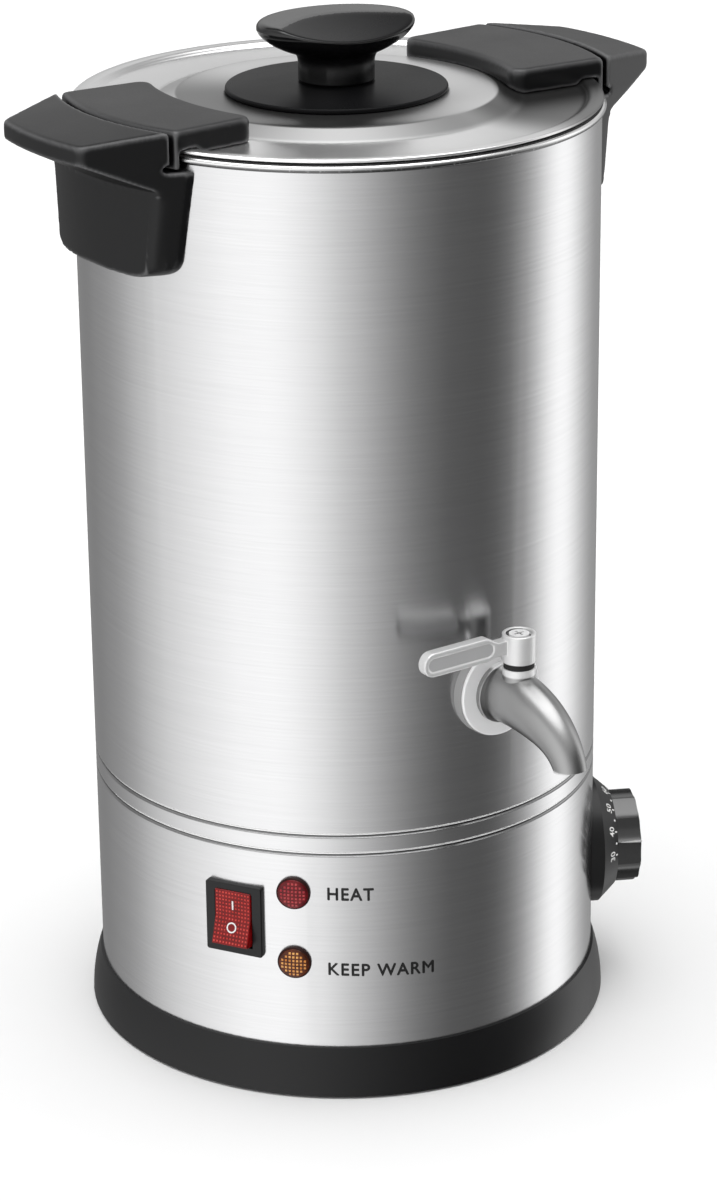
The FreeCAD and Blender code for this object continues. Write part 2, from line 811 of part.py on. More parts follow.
def lever_blade(low):
    """Flat blade along -Y with a narrower neck at the hub and a sunk panel on each face."""
    middle = low + lever_rise
    half = lever_height / 2
    top = middle + half
    bottom = middle - half
    neck_end = -lever_neck_length
    blade_start = neck_end - lever_shoulder
    blade_end = half - lever_length
    front = valve_reach - lever_set_back + lever_thickness / 2
    back = front - lever_thickness
    edges = []
    points = [(blade_end, bottom), (blade_start, bottom), (neck_end, low + lever_neck_low),
              (0, low + lever_neck_low), (0, low + lever_neck_high), (neck_end, low + lever_neck_high),
              (blade_start, top), (blade_end, top)]
    corners = [Vector(back, y, z) for y, z in points]
    for here, there in zip(corners, corners[1:]):
        edges.append(Part.LineSegment(here, there).toShape())
    tip = Vector(back, blade_end - half, middle)
    edges.append(Part.Arc(corners[-1], tip, corners[0]).toShape())
    blade = Part.Face(Part.Wire(edges)).extrude(Vector(lever_thickness, 0, 0))
    blade = rounded(blade, 1.5, lambda e: e.BoundBox.XLength > 1 and abs(e.BoundBox.YMin - blade_start) < 0.1)
    blade = rounded(blade, 0.8, lambda e: e.BoundBox.XLength < 0.01 and e.BoundBox.YMax < -0.1)
    radius = half - lever_panel_margin
    for face_x in (front - lever_panel_depth, back - 1.0):
        depth = lever_panel_depth + 1.0
        panel = Part.makeBox(depth, blade_start - blade_end, 2 * radius, Vector(face_x, blade_end, middle - radius))
        for y in (blade_end, blade_start):
            panel = panel.fuse(Part.makeCylinder(radius, depth, Vector(face_x, y, middle), Vector(1, 0, 0)))
        blade = blade.cut(panel)
    return blade


def tap_lever():
    """Hub on the plug's stem with the blade to one side of it."""
    low = tap_neck_top + tap_seal_ring_height + running_gap
    high = low + lever_hub_height
    hub = upright(lever_hub_radius, low, high, valve_reach)
    hub = rounded(hub, 0.6, lambda e: isinstance(e.Curve, Part.Circle) and e.BoundBox.ZMin > high - 0.1)
    lever = hub.fuse(lever_blade(low))
    lever = lever.cut(upright(tap_stem_radius, low - 1, high - lever_screw_length, valve_reach))
    lever = lever.cut(upright(lever_screw_shank, high - 5, high, valve_reach))
    lever = lever.cut(upright(lever_recess_radius, high - lever_recess_depth, high + 1, valve_reach))
    return lever.removeSplitter()


def tap_screw():
    hub_top = tap_neck_top + tap_seal_ring_height + running_gap + lever_hub_height
    low = hub_top - lever_recess_depth
    high = hub_top - lever_screw_sunk
    half = lever_screw_slot / 2
    screw = upright(lever_screw_head, low, high, valve_reach)
    screw = screw.fuse(upright(lever_screw_shank, hub_top - lever_screw_length, low, valve_reach))
    slot = block(-half, half, lever_screw_slot_width, high - lever_screw_slot_depth, high)
    for turn in (0, 90):
        cut = slot.copy()
        cut.rotate(ORIGIN, Z, turn)
        cut.translate(Vector(valve_reach, 0, 0))
        screw = screw.cut(cut)
    return screw


def tap_outer_seal():
    """Silicone ring between shell and washer, moulded to the shell's curve."""
    seal = rod(tap_seal_radius, shell_radius - 6, shell_radius + tap_seal_thickness)
    return seal.cut(rod(tap_shank_radius + seat_gap, 0, shell_radius + 20)).cut(shell_skin(seat_gap))


def tap_inner_seal():
    """Silicone ring that sits on the inside of the pot's wall."""
    flat = pot_inside - tap_inner_seal_thickness
    seal = rod(tap_inner_seal_radius, flat, pot_inside + 1).common(upright(pot_inside - seat_gap, -pot_radius, pot_radius))
    return seal.cut(rod(tap_shank_radius + seat_gap, 0, pot_inside + 20))


def tap_nut():
    flat = pot_inside - tap_inner_seal_thickness
    nut = hexagon(tap_nut_radius, 0, tap_nut_length)
    nut.rotate(ORIGIN, Vector(0, 1, 0), -90)
    nut.translate(Vector(flat, 0, 0))
    return nut.cut(rod(tap_shank_radius, 0, flat + 20))


washer = rod(tap_washer_radius, washer_start, collar_start)
washer = rounded(washer, tap_washer_edge, lambda e: e.BoundBox.XMin > collar_start - 0.1)
seal_ring = upright(tap_seal_ring_radius, tap_neck_top, tap_neck_top + tap_seal_ring_height, valve_reach)
tap_pieces = {
    "tap_body": tap_body(),
    "tap_washer": washer.cut(rod(tap_shank_radius + seat_gap, 0, washer_start + 20)),
    "tap_outer_seal": tap_outer_seal(),
    "tap_inner_seal": tap_inner_seal(),
    "tap_nut": tap_nut(),
    "tap_plug": tap_plug(),
    "tap_stem_seal": seal_ring.cut(upright(tap_stem_radius + running_gap, 0, tap_neck_top + lever_hub_height, valve_reach)),
    "tap_lever": tap_lever(),
    "tap_lever_screw": tap_screw(),
}
for name, shape in tap_pieces.items():
    piece(name, facing(shape, 0, tap_height))


# ---------------------------------------------------------------- temperature dial

def dial_screw_rods(radius, near, far):
    return [rod(radius, near, far, y=side * dial_screw_spread / 2) for side in (-1, 1)]


def dial_bezel():
    """Conical ring with the scale; its floor is clamped to the shell under the knob."""
    rim_end = shell_radius + dial_rim
    top = shell_radius + dial_depth
    body = rod(dial_radius, shell_radius - 8, rim_end)
    body = body.fuse(Part.makeCone(dial_radius, dial_top_radius, top - rim_end,
                                   Vector(rim_end, 0, 0), Vector(1, 0, 0)))
    body = body.cut(shell_skin(seat_gap))
    body = body.cut(rod(dial_well_radius, shell_radius + dial_floor, top + 1))
    body = body.cut(rod(dial_bore_radius, 0, top))
    for hole in dial_screw_rods(dial_screw_radius + hole_play, 0, top):
        body = body.cut(hole)
    return body.removeSplitter()


def dial_knob():
    """Fluted cap with a hub on the thermostat's shaft."""
    low = shell_radius + dial_depth + dial_knob_gap
    high = low + dial_knob_length
    cap = rod(dial_knob_radius, low, high)
    cap = rounded(cap, 0.9, lambda e: isinstance(e.Curve, Part.Circle) and e.BoundBox.XMin > high - 0.1)
    centre = dial_knob_radius + dial_flute_radius - dial_flute_depth
    for k in range(dial_knob_flutes):
        turn = math.radians(dial_pointer + 360 * (k + 0.5) / dial_knob_flutes)
        cap = cap.cut(rod(dial_flute_radius, low - 1, high + 1,
                          y=centre * math.cos(turn), z=centre * math.sin(turn)))
    well = dial_knob_radius - dial_flute_depth - dial_knob_wall
    cap = cap.cut(rod(well, low - 1, high - dial_knob_wall))
    hub = rod(dial_hub_radius, shell_radius + dial_floor + 2, high - dial_knob_wall)
    bore = rod(dial_shaft_radius, 0, high - dial_knob_wall - 1.5)
    return cap.fuse(hub).cut(bore).removeSplitter()


def thermostat_body():
    """Capillary thermostat: a moulded box with a threaded nose round its shaft."""
    box = block(thermostat_front - thermostat_depth, thermostat_front, thermostat_width,
                -thermostat_height / 2, thermostat_height / 2)
    box = rounded(box, 1.5, lambda e: e.BoundBox.XLength > thermostat_depth - 0.1)
    box = box.fuse(rod(thermostat_nose, thermostat_front, shell_radius + dial_floor))
    box = box.cut(rod(dial_shaft_radius + running_gap, thermostat_front - 12, shell_radius + 20))
    for hole in dial_screw_rods(dial_screw_radius, thermostat_front - thermostat_screw_depth, thermostat_front + 1):
        box = box.cut(hole)
    return box


def thermostat_shaft():
    knob_end = shell_radius + dial_depth + dial_knob_gap + dial_knob_length - dial_knob_wall - 1.5
    return rod(dial_shaft_radius, thermostat_front - 11.5, knob_end)


def thermostat_screws():
    seat = shell_radius + dial_floor
    shanks = dial_screw_rods(dial_screw_radius, thermostat_front - thermostat_screw_depth + 0.5, seat)
    heads = dial_screw_rods(dial_screw_head, seat, seat + dial_screw_head_height)
    return [facing(shank.fuse(head), dial_angle, dial_height) for shank, head in zip(shanks, heads)]


piece("dial_bezel", facing(dial_bezel(), dial_angle, dial_height))
piece("temperature_knob", facing(dial_knob(), dial_angle, dial_height))
piece("thermostat_body", facing(thermostat_body(), dial_angle, dial_height))
piece("thermostat_shaft", facing(thermostat_shaft(), dial_angle, dial_height))
piece("thermostat_screws", *thermostat_screws())


# ---------------------------------------------------------------- rocker switch

def switch_housing():
    """Moulded frame that snaps into the shell, with a well for the rocker."""
    face = shell_radius + switch_face
    frame = block(shell_radius - 8, face, switch_width, -switch_length / 2, switch_length / 2)
    frame = rounded(frame, 1.2, lambda e: e.BoundBox.XLength > 9)
    frame = rounded(frame, 0.6, lambda e: e.BoundBox.XMin > face - 0.01)
    frame = frame.cut(shell_skin(seat_gap))
    inner = block(shell_radius - switch_body_depth, face - 1, switch_body_width,
                  -switch_body_length / 2, switch_body_length / 2)
    frame = frame.fuse(inner)
    pivot = shell_radius - rocker_pivot_depth
    well_floor = pivot - switch_window_length / 2 + 3.0
    frame = frame.cut(block(well_floor, face + 1, switch_window_width,
                            -switch_window_length / 2, switch_window_length / 2))
    pin = Part.makeCylinder(rocker_pin_radius + running_gap, switch_body_width - 1.2,
                            Vector(pivot, -(switch_body_width - 1.2) / 2, 0), Vector(0, 1, 0))
    return frame.cut(pin).removeSplitter()


def switch_rocker():
    """Translucent rocker, its upper end pressed in."""
    pivot = shell_radius - rocker_pivot_depth
    reach = switch_window_length / 2 - rocker_gap
    width = switch_window_width - 2 * rocker_gap
    crest = shell_radius + rocker_crest
    low = pivot - rocker_back
    back_reach = reach - rocker_back_inset
    beyond = reach + 1
    end = crest + rocker_end * beyond / reach
    outline = [(low, -back_reach), (low, back_reach), (pivot, beyond), (end, beyond),
               (crest, 0), (end, -beyond), (pivot, -beyond)]
    corners = [Vector(x, -width / 2, z) for x, z in outline]
    body = Part.Face(Part.makePolygon(corners + corners[:1])).extrude(Vector(0, width, 0))
    drum = Part.makeCylinder(reach, width, Vector(pivot, -width / 2, 0), Vector(0, 1, 0))
    body = body.common(drum)
    pin_width = switch_body_width - 1.6
    pin = Part.makeCylinder(rocker_pin_radius, pin_width, Vector(pivot, -pin_width / 2, 0), Vector(0, 1, 0))
    body = body.fuse(pin).removeSplitter()
    body.rotate(Vector(pivot, 0, 0), Vector(0, 1, 0), -rocker_tilt)
    return body


def switch_tabs():
    back = shell_radius - switch_body_depth
    tabs = []
    for z in (-8, 0, 8):
        tab = block(back - tab_length, back, tab_width, z - tab_thickness / 2, z + tab_thickness / 2)
        tabs.append(facing(tab, switch_angle, switch_height))
    return tabs


piece("switch_housing", facing(switch_housing(), switch_angle, switch_height))
piece("switch_rocker", facing(switch_rocker(), switch_angle, switch_height))
piece("switch_tabs", *switch_tabs())


# ---------------------------------------------------------------- signal lamps

def lamp_holder():
    face = shell_radius + lamp_rim
    body = rod(lamp_radius, shell_radius - 4, face)
    body = rounded(body, 0.6, lambda e: e.BoundBox.XMin > face - 0.01)
    body = body.cut(shell_skin(seat_gap))
    body = body.fuse(rod(lamp_body_radius, shell_radius - lamp_body_depth, face - 0.5))
    return body.cut(rod(lamp_lens_radius, shell_radius, face + 1).fuse(
        rod(lamp_body_radius - 1, shell_radius - lamp_body_depth + 2, shell_radius))).removeSplitter()


def lamp_lens():
    top = shell_radius + lamp_lens_proud
    lens = rod(lamp_lens_radius - seat_gap, shell_radius, top)
    return rounded(lens, 1.2, lambda e: isinstance(e.Curve, Part.Circle) and e.BoundBox.XMin > top - 0.1)


def lamp_nut():
    flat = math.sqrt(shell_inside ** 2 - lamp_nut_radius ** 2) - seat_gap
    nut = hexagon(lamp_nut_radius, 0, lamp_nut_height)
    nut.rotate(ORIGIN, Vector(0, 1, 0), -90)
    nut.translate(Vector(flat, 0, 0))
    return nut.cut(rod(lamp_body_radius, 0, shell_radius))


lamp_heights = (upper_lamp_height, lower_lamp_height)
piece("heating_lamp_lens", facing(lamp_lens(), lamp_angle, upper_lamp_height))
piece("warm_lamp_lens", facing(lamp_lens(), lamp_angle, lower_lamp_height))
piece("lamp_holders", *[facing(lamp_holder(), lamp_angle, height) for height in lamp_heights])
piece("lamp_nuts", *[facing(lamp_nut(), lamp_angle, height) for height in lamp_heights])


# ---------------------------------------------------------------- mains inlet at the back

def inlet_housing():
    """Three-pin appliance inlet, mounted upright, with its flange curved to the shell."""
    face = shell_radius + inlet_face
    frame = block(shell_radius - 6, face, inlet_width, -inlet_length / 2, inlet_length / 2)
    frame = rounded(frame, 3.0, lambda e: e.BoundBox.XLength > 8)
    frame = frame.cut(shell_skin(seat_gap))
    frame = frame.fuse(block(shell_radius - inlet_body_depth, face - 1, inlet_body_width,
                             -inlet_body_length / 2, inlet_body_length / 2))
    socket = block(face - inlet_socket_depth, face + 1, inlet_socket_width,
                   -inlet_socket_length / 2, inlet_socket_length / 2)
    frame = frame.cut(rounded(socket, 1.5, lambda e: e.BoundBox.XLength > 8))
    for side in (-1, 1):
        frame = frame.cut(rod(inlet_screw_radius + hole_play, 0, face + 1, z=side * inlet_screw_spread / 2))
    for shape in inlet_pin_shapes():
        frame = frame.cut(shape)
    return frame.removeSplitter()


def inlet_pin_shapes():
    face = shell_radius + inlet_face
    floor = face - inlet_socket_depth
    back = shell_radius - inlet_body_depth - 7
    pins = []
    for y, z in ((-inlet_pin_rise / 2, -inlet_pin_spread), (-inlet_pin_rise / 2, inlet_pin_spread),
                 (inlet_pin_rise / 2 + 0.8, 0)):
        pins.append(Part.makeBox(floor + inlet_pin_length - back, inlet_pin_width, inlet_pin_thickness,
                                 Vector(back, y - inlet_pin_width / 2, z - inlet_pin_thickness / 2)))
    return pins


def inlet_screw(side):
    face = shell_radius + inlet_face
    z = side * inlet_screw_spread / 2
    head = rod(inlet_screw_head, face, face + inlet_screw_head_height, z=z)
    return head.fuse(rod(inlet_screw_radius, shell_inside - 6, face, z=z))


def inlet_nut(side):
    flat = math.sqrt(shell_inside ** 2 - inlet_nut_radius ** 2) - seat_gap
    nut = hexagon(inlet_nut_radius, 0, inlet_nut_height)
    nut.rotate(ORIGIN, Vector(0, 1, 0), -90)
    nut.translate(Vector(flat, 0, side * inlet_screw_spread / 2))
    return nut.cut(rod(inlet_screw_radius, 0, shell_radius, z=side * inlet_screw_spread / 2))


piece("inlet_housing", facing(inlet_housing(), 180, inlet_height))
piece("inlet_pins", *[facing(shape, 180, inlet_height) for shape in inlet_pin_shapes()])
piece("inlet_screws", *[facing(inlet_screw(side), 180, inlet_height) for side in (-1, 1)])
piece("inlet_nuts", *[facing(inlet_nut(side), 180, inlet_height) for side in (-1, 1)])


# ---------------------------------------------------------------- capillary and wiring

def wire(points):
    return bent_tube(points, wire_radius)


def terminal_block():
    """Screw terminals on the floor plate between the inlet and the switch."""
    near = block_reach - block_depth / 2
    body = block(near, near + block_depth, block_width, floor_top, floor_top + block_height)
    for k in range(block_ways):
        y = (k - (block_ways - 1) / 2) * block_width / block_ways
        body = body.cut(upright(block_screw_radius, floor_top + block_height - 4, floor_top + block_height + 1,
                                near + block_depth / 2, y))
    return facing(body, block_angle)


def block_port(k):
    """Wire entry on the block's outer or inner side, above the floor."""
    near = block_reach - block_depth / 2
    y = (k - (block_ways - 1) / 2) * block_width / block_ways
    corner = facing(Part.Vertex(Vector(near, y, floor_top + block_height / 2)), block_angle).Point
    return corner


def lead_wires():
    """Sleeved wires from the terminal block to the switch, the thermostat, the lamps and the element."""
    inward = polar(-1.0, block_angle - 90)
    ends = [facing(Part.Vertex(Vector(shell_radius - switch_body_depth - tab_length, 0, z)),
                   switch_angle, switch_height).Point for z in (-8, 8)]
    ends += [facing(Part.Vertex(Vector(shell_radius - lamp_body_depth, 0, 0)), lamp_angle, height).Point
             for height in (upper_lamp_height, lower_lamp_height)]
    wires = []
    for k, end in enumerate(ends):
        start = block_port(k)
        way = Vector(-end.x, -end.y, 0).normalize()
        rise = start + inward * (8 + 3 * k)
        drop = end + way * (10 + 4 * k)
        wires.append(wire([start, rise, Vector(rise.x, rise.y, wire_level + 4 * k),
                           Vector(drop.x, drop.y, wire_level + 4 * k), drop, end]))
    return wires


piece("thermostat_capillary", capillary())
piece("terminal_block", terminal_block())
piece("lead_wires", *lead_wires())

# ---------------------------------------------------------------- handles

def tapered_corners(near_corner, far_corner, overrun, drawn_in=0.0):
    """Corners of a plan that tapers along +X through two (x, y) corners and runs past both of them."""
    near_x, near_y = near_corner
    far_x, far_y = far_corner
    slope = (far_y - near_y) / (far_x - near_x)
    start = near_y - slope * overrun - drawn_in
    end = far_y + slope * overrun - drawn_in
    return [(near_x - overrun, -start), (far_x + overrun, -end), (far_x + overrun, end), (near_x - overrun, start)]


def tapered_plan(near_corner, far_corner, overrun, low, high):
    return prism(tapered_corners(near_corner, far_corner, overrun), low, high)


def on_circle(radius, half_width):
    """The corner at this half width on a circle about the pot's axis."""
    return math.sqrt(radius ** 2 - half_width ** 2), half_width


def handle_envelope():
    """Everything between the handle's two end planes, which draw in below the ledge."""
    corners = (on_circle(slot_radius, wing_half_width), on_circle(tip_radius, wing_tip_half_width), handle_reach)
    head = tapered_plan(*corners, handle_ledge, handle_top + 5)
    wires = []
    for height, drawn_in in ((handle_bottom, handle_pad_taper), (handle_ledge, 0.0)):
        points = [Vector(x, y, height) for x, y in tapered_corners(*corners, drawn_in)]
        wires.append(Part.makePolygon(points + points[:1]))
    return head.fuse(Part.makeLoft(wires, True, True))


def handle():
    """Fixed handle on +X: a pad on the shell that carries a wing with a slot for the lid's ear."""
    pad_radius = shell_radius + handle_pad
    lip_radius = pad_radius - handle_lip
    envelope = handle_envelope()
    pad = turned(profile(
        (shell_radius + seat_gap, handle_bottom), (pad_radius, handle_bottom),
        (pad_radius, handle_root_height), (lip_radius, handle_root_height),
        (lip_radius, handle_ledge), (shell_radius + seat_gap, handle_ledge)), 90).common(envelope)
    pad = rounded(pad, handle_corner_radius,
                  lambda e: e.BoundBox.ZMax < handle_bottom + 0.1 and isinstance(e.Curve, Part.Line))
    tip_top = handle_top - handle_slope
    tip_low = tip_top - handle_tip_face
    rise = (tip_low - handle_root_height) / (tip_radius - lip_radius)
    root = lip_radius - wing_root
    wing = turned(profile(
        (root, handle_root_height - rise * wing_root),
        (root, handle_ledge),
        (slot_radius, handle_ledge),
        (slot_radius, handle_top),
        (tip_radius, tip_top),
        (tip_radius, tip_low)), 80).common(envelope)
    wing = rounded(wing, wing_corner_radius,
                   lambda e: e.BoundBox.ZLength > handle_tip_face - 2 and e.BoundBox.XMin > tip_radius - 8)
    wing = rounded(wing, handle_edge_radius,
                   lambda e: e.BoundBox.XMin > slot_radius * 0.9 and e.BoundBox.ZMin > handle_top - handle_slope - 3
                   and e.BoundBox.XMax > slot_radius + 5)
    body = pad.fuse(wing).removeSplitter()
    undercut = turned(profile(
        (slot_radius - 1, handle_ledge),
        (slot_radius + undercut_depth, handle_ledge),
        (slot_radius + undercut_depth, handle_ledge + undercut_height),
        (slot_radius - 1, handle_ledge + undercut_height)), 80)
    body = body.cut(undercut)
    for side in (-1, 1):
        body = body.cut(rod(handle_screw_radius, shell_inside - 6, shell_radius + handle_screw_depth,
                            y=side * handle_screw_spread / 2, z=handle_screw_height))
    return body


def handle_screw(side):
    """Pan-head screw from inside the shell into the handle's pad."""
    y = side * handle_screw_spread / 2
    seat = math.sqrt(shell_inside ** 2 - (handle_screw_spread / 2 + handle_screw_head) ** 2) - seat_gap
    head = rod(handle_screw_head, seat - handle_screw_head_height, seat, y=y, z=handle_screw_height)
    shank = rod(handle_screw_radius, seat, shell_radius + handle_screw_depth - 1, y=y, z=handle_screw_height)
    return head.fuse(shank)


right_handle = handle()
right_screws = [handle_screw(-1), handle_screw(1)]
piece("right_handle", right_handle)
piece("left_handle", mirrored(right_handle))
piece("handle_screws", *(right_screws + [mirrored(screw) for screw in right_screws]))


# ---------------------------------------------------------------- lid

def lid_pan():
    """Pressed lid with a stepped crown, a sunk flat round it and a hemmed brim."""
    body = turned(profile(
        (knob_screw_radius + hole_play, lid_crown - lid_sheet),
        (lid_step_inner, lid_crown - lid_sheet),
        (lid_step_outer, lid_flat_under),
        (recess_foot + lid_recess_bend, lid_flat_under),
        (recess_edge + lid_recess_bend, lid_under),
        (hem_radius, lid_under),
        (hem_radius, lid_top),
        (recess_edge, lid_top),
        (recess_foot, lid_flat),
        (lid_step_outer, lid_flat),
        (lid_step_inner, lid_crown),
        (knob_screw_radius + hole_play, lid_crown)))
    body = body.fuse(Part.makeTorus(hem_radius, lid_hem_radius, Vector(0, 0, lid_top - lid_hem_radius)))
    for x, y in ear_screw_places():
        body = body.cut(upright(ear_screw_radius + hole_play, lid_flat_under - 1, lid_flat + 1, x, y))
    return body.removeSplitter()


def ear_screw_places():
    return [(end * ear_screw_reach, side * ear_screw_spread / 2) for end in (-1, 1) for side in (-1, 1)]


def lid_locating_ring():
    """Spot-welded ring under the lid that centres it in the pot."""
    body = ring(skirt_radius - skirt_sheet, skirt_radius, lid_flat_under - skirt_depth, lid_flat_under)
    flange = ring(skirt_radius - skirt_flange, skirt_radius, lid_flat_under - skirt_sheet, lid_flat_under)
    return body.fuse(flange).removeSplitter()


def lid_ear(reach):
    """Lid ear on +X: it bridges the rim and drops a leg into the handle's slot."""
    plan = tapered_plan((reach, ear_inner_half_width), on_circle(slot_radius, wing_half_width),
                        14, handle_ledge - 5, handle_top + 5)
    inner = lid_step_inner
    deck = turned(profile(
        (inner, lid_flat + seat_gap),
        (recess_foot - seat_gap, lid_flat + seat_gap), (recess_edge - seat_gap, lid_top + seat_gap),
        (ear_radius, lid_top + seat_gap),
        (ear_radius, handle_top), (inner, handle_top)), 150)
    deck = deck.common(plan).cut(upright(ear_inner_arc, lid_flat, handle_top, reach - ear_inner_arc))
    deck = rounded(deck, ear_corner_radius, lambda e: is_upright(e) and e.BoundBox.XMax < reach)
    deck = rounded(deck, ear_edge_radius, lambda e: e.BoundBox.ZMin > handle_top - 0.01)
    leg = turned(profile(
        (ear_radius - ear_leg, handle_ledge + ear_leg_play), (ear_radius, handle_ledge + ear_leg_play),
        (ear_radius, lid_top + 2), (ear_radius - ear_leg, lid_top + 2)), 100)
    leg = leg.common(plan)
    ear = deck.fuse(leg).removeSplitter()
    ear = ear.cut(turned(profile(
        (0, lid_flat), (lid_step_outer, lid_flat + seat_gap),
        (lid_step_inner, lid_crown + seat_gap), (0, lid_crown + seat_gap))))
    for side in (-1, 1):
        ear = ear.cut(upright(ear_screw_radius, lid_flat - 1, lid_flat + ear_screw_depth,
                              ear_screw_reach, side * ear_screw_spread / 2))
    return ear


def ear_screw(x, y):
    return pan_head_screw(x, y, lid_flat_under - ear_screw_head_height, lid_flat_under,
                          lid_flat + ear_screw_depth - screw_tip_room, ear_screw_radius, ear_screw_head)


piece("lid_pan", lid_pan())
piece("lid_locating_ring", lid_locating_ring())
gasket_radius = hem_radius - lid_hem_radius - gasket_inset
piece("lid_gasket", ring(gasket_radius - gasket_width, gasket_radius, rim_top, lid_under))
piece("right_lid_ear", lid_ear(shell_radius - right_ear_length))
piece("left_lid_ear", mirrored(lid_ear(shell_radius - left_ear_length)))
piece("ear_screws", *[ear_screw(x, y) for x, y in ear_screw_places()])


# ---------------------------------------------------------------- lid knob

def knob_base():
    body = turned(profile(
        (knob_screw_radius + hole_play, lid_crown),
        (knob_disc_radius - 1, lid_crown),
        ((knob_disc_radius - 0.1, lid_crown + 1.1), (knob_disc_radius - 1.2, disc_top - 0.1)),
        ((knob_disc_radius * 0.6, disc_top + knob_disc_crown * 0.55),
         (knob_screw_radius + hole_play, disc_top + knob_disc_crown))))
    return body.cut(upright(knob_stem_radius - knob_spigot_inset + seat_gap, stem_foot, head_foot))


def oval(half_length, half_width, height):
    if half_length - half_width < 1e-6:
        return Part.Wire(Part.makeCircle(half_length, Vector(0, 0, height)))
    curve = Part.Ellipse(Vector(0, 0, height), half_length, half_width)
    return Part.Wire(curve.toShape())


def lid_knob():
    """Moulded knob: a round stem under an oval head with a thumb scoop towards the tap."""
    top = head_foot + knob_head_height
    sections = []
    for share, rise in ((0.00, 0.00), (0.12, 0.05), (0.42, 0.20), (0.74, 0.42), (0.95, 0.66),
                        (1.00, 0.80), (0.97, 0.93), (0.86, 1.00)):
        length = knob_stem_radius + share * (knob_half_length - knob_stem_radius)
        width = knob_stem_radius + share * (knob_half_width - knob_stem_radius)
        sections.append(oval(length, width, head_foot + knob_head_height * rise))
    head = Part.makeLoft(sections, True, False)
    run = 2 * knob_half_width
    scoop = Part.makeCylinder(knob_scoop_radius, 2 * run, Vector(0, -run, 0), Vector(0, 1, 0))
    scoop.translate(Vector(0, 0, top - knob_scoop_depth + knob_scoop_radius))
    scoop.rotate(Vector(0, -knob_half_width, top - knob_scoop_depth), Vector(1, 0, 0), knob_scoop_tilt)
    head = head.cut(scoop)
    stem = upright(knob_stem_radius, stem_foot + knob_spigot_depth, head_foot + 1)
    stem = stem.fuse(upright(knob_stem_radius - knob_spigot_inset, stem_foot, head_foot))
    knob = head.fuse(stem)
    knob = knob.cut(upright(knob_screw_radius, stem_foot - 1, stem_foot + knob_screw_depth)).removeSplitter()
    knob.rotate(ORIGIN, Z, knob_turn)
    return knob


under = lid_crown - lid_sheet
piece("knob_base", knob_base())
piece("lid_knob", lid_knob())
piece("knob_washer", ring(knob_screw_radius + hole_play, knob_washer_radius, under - knob_washer_thickness, under))
seat = under - knob_washer_thickness
piece("knob_screw", pan_head_screw(0, 0, seat - knob_screw_head_height, seat,
                                   stem_foot + knob_screw_depth - screw_tip_room, knob_screw_radius, knob_screw_head))

# ---------------------------------------------------------------- export

for name, shape in nodes.items():
    for solid in shape.Solids:
        if not solid.isValid():
            print("not valid:", name)
    shape.exportStep("parts/%s.step" % name)
    print("%-22s solids %2d  volume %10.1f mm3" % (name, len(shape.Solids), shape.Volume))
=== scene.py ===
import math

import bmesh
import bpy
from mathutils import Matrix, Vector


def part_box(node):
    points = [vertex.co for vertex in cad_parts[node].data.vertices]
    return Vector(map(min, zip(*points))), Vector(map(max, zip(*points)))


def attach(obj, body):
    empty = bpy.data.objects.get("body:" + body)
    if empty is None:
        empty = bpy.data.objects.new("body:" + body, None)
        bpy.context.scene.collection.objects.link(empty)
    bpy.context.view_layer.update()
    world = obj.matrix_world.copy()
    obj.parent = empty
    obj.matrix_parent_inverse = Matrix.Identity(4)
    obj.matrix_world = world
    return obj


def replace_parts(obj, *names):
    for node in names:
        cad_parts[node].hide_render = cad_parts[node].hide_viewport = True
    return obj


# Candle wax melter: a brushed steel pot with a lever tap, a twist-on lid with a knob, two handles,
# and an electric base with a switch, two lamps and a temperature dial.  Metres, +Z up, tap along -Y.

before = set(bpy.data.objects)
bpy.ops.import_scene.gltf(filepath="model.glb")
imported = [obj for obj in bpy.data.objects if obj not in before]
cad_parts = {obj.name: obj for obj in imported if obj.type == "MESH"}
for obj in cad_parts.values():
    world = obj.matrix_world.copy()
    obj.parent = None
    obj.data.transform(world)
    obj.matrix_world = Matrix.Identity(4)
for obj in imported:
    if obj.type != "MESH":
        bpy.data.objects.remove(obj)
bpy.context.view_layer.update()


# ---------------------------------------------------------------- base ring and foot
# A moulded ring of black satin plastic that the shell stands in.
# A ring of soft rubber is pressed into a groove under it.

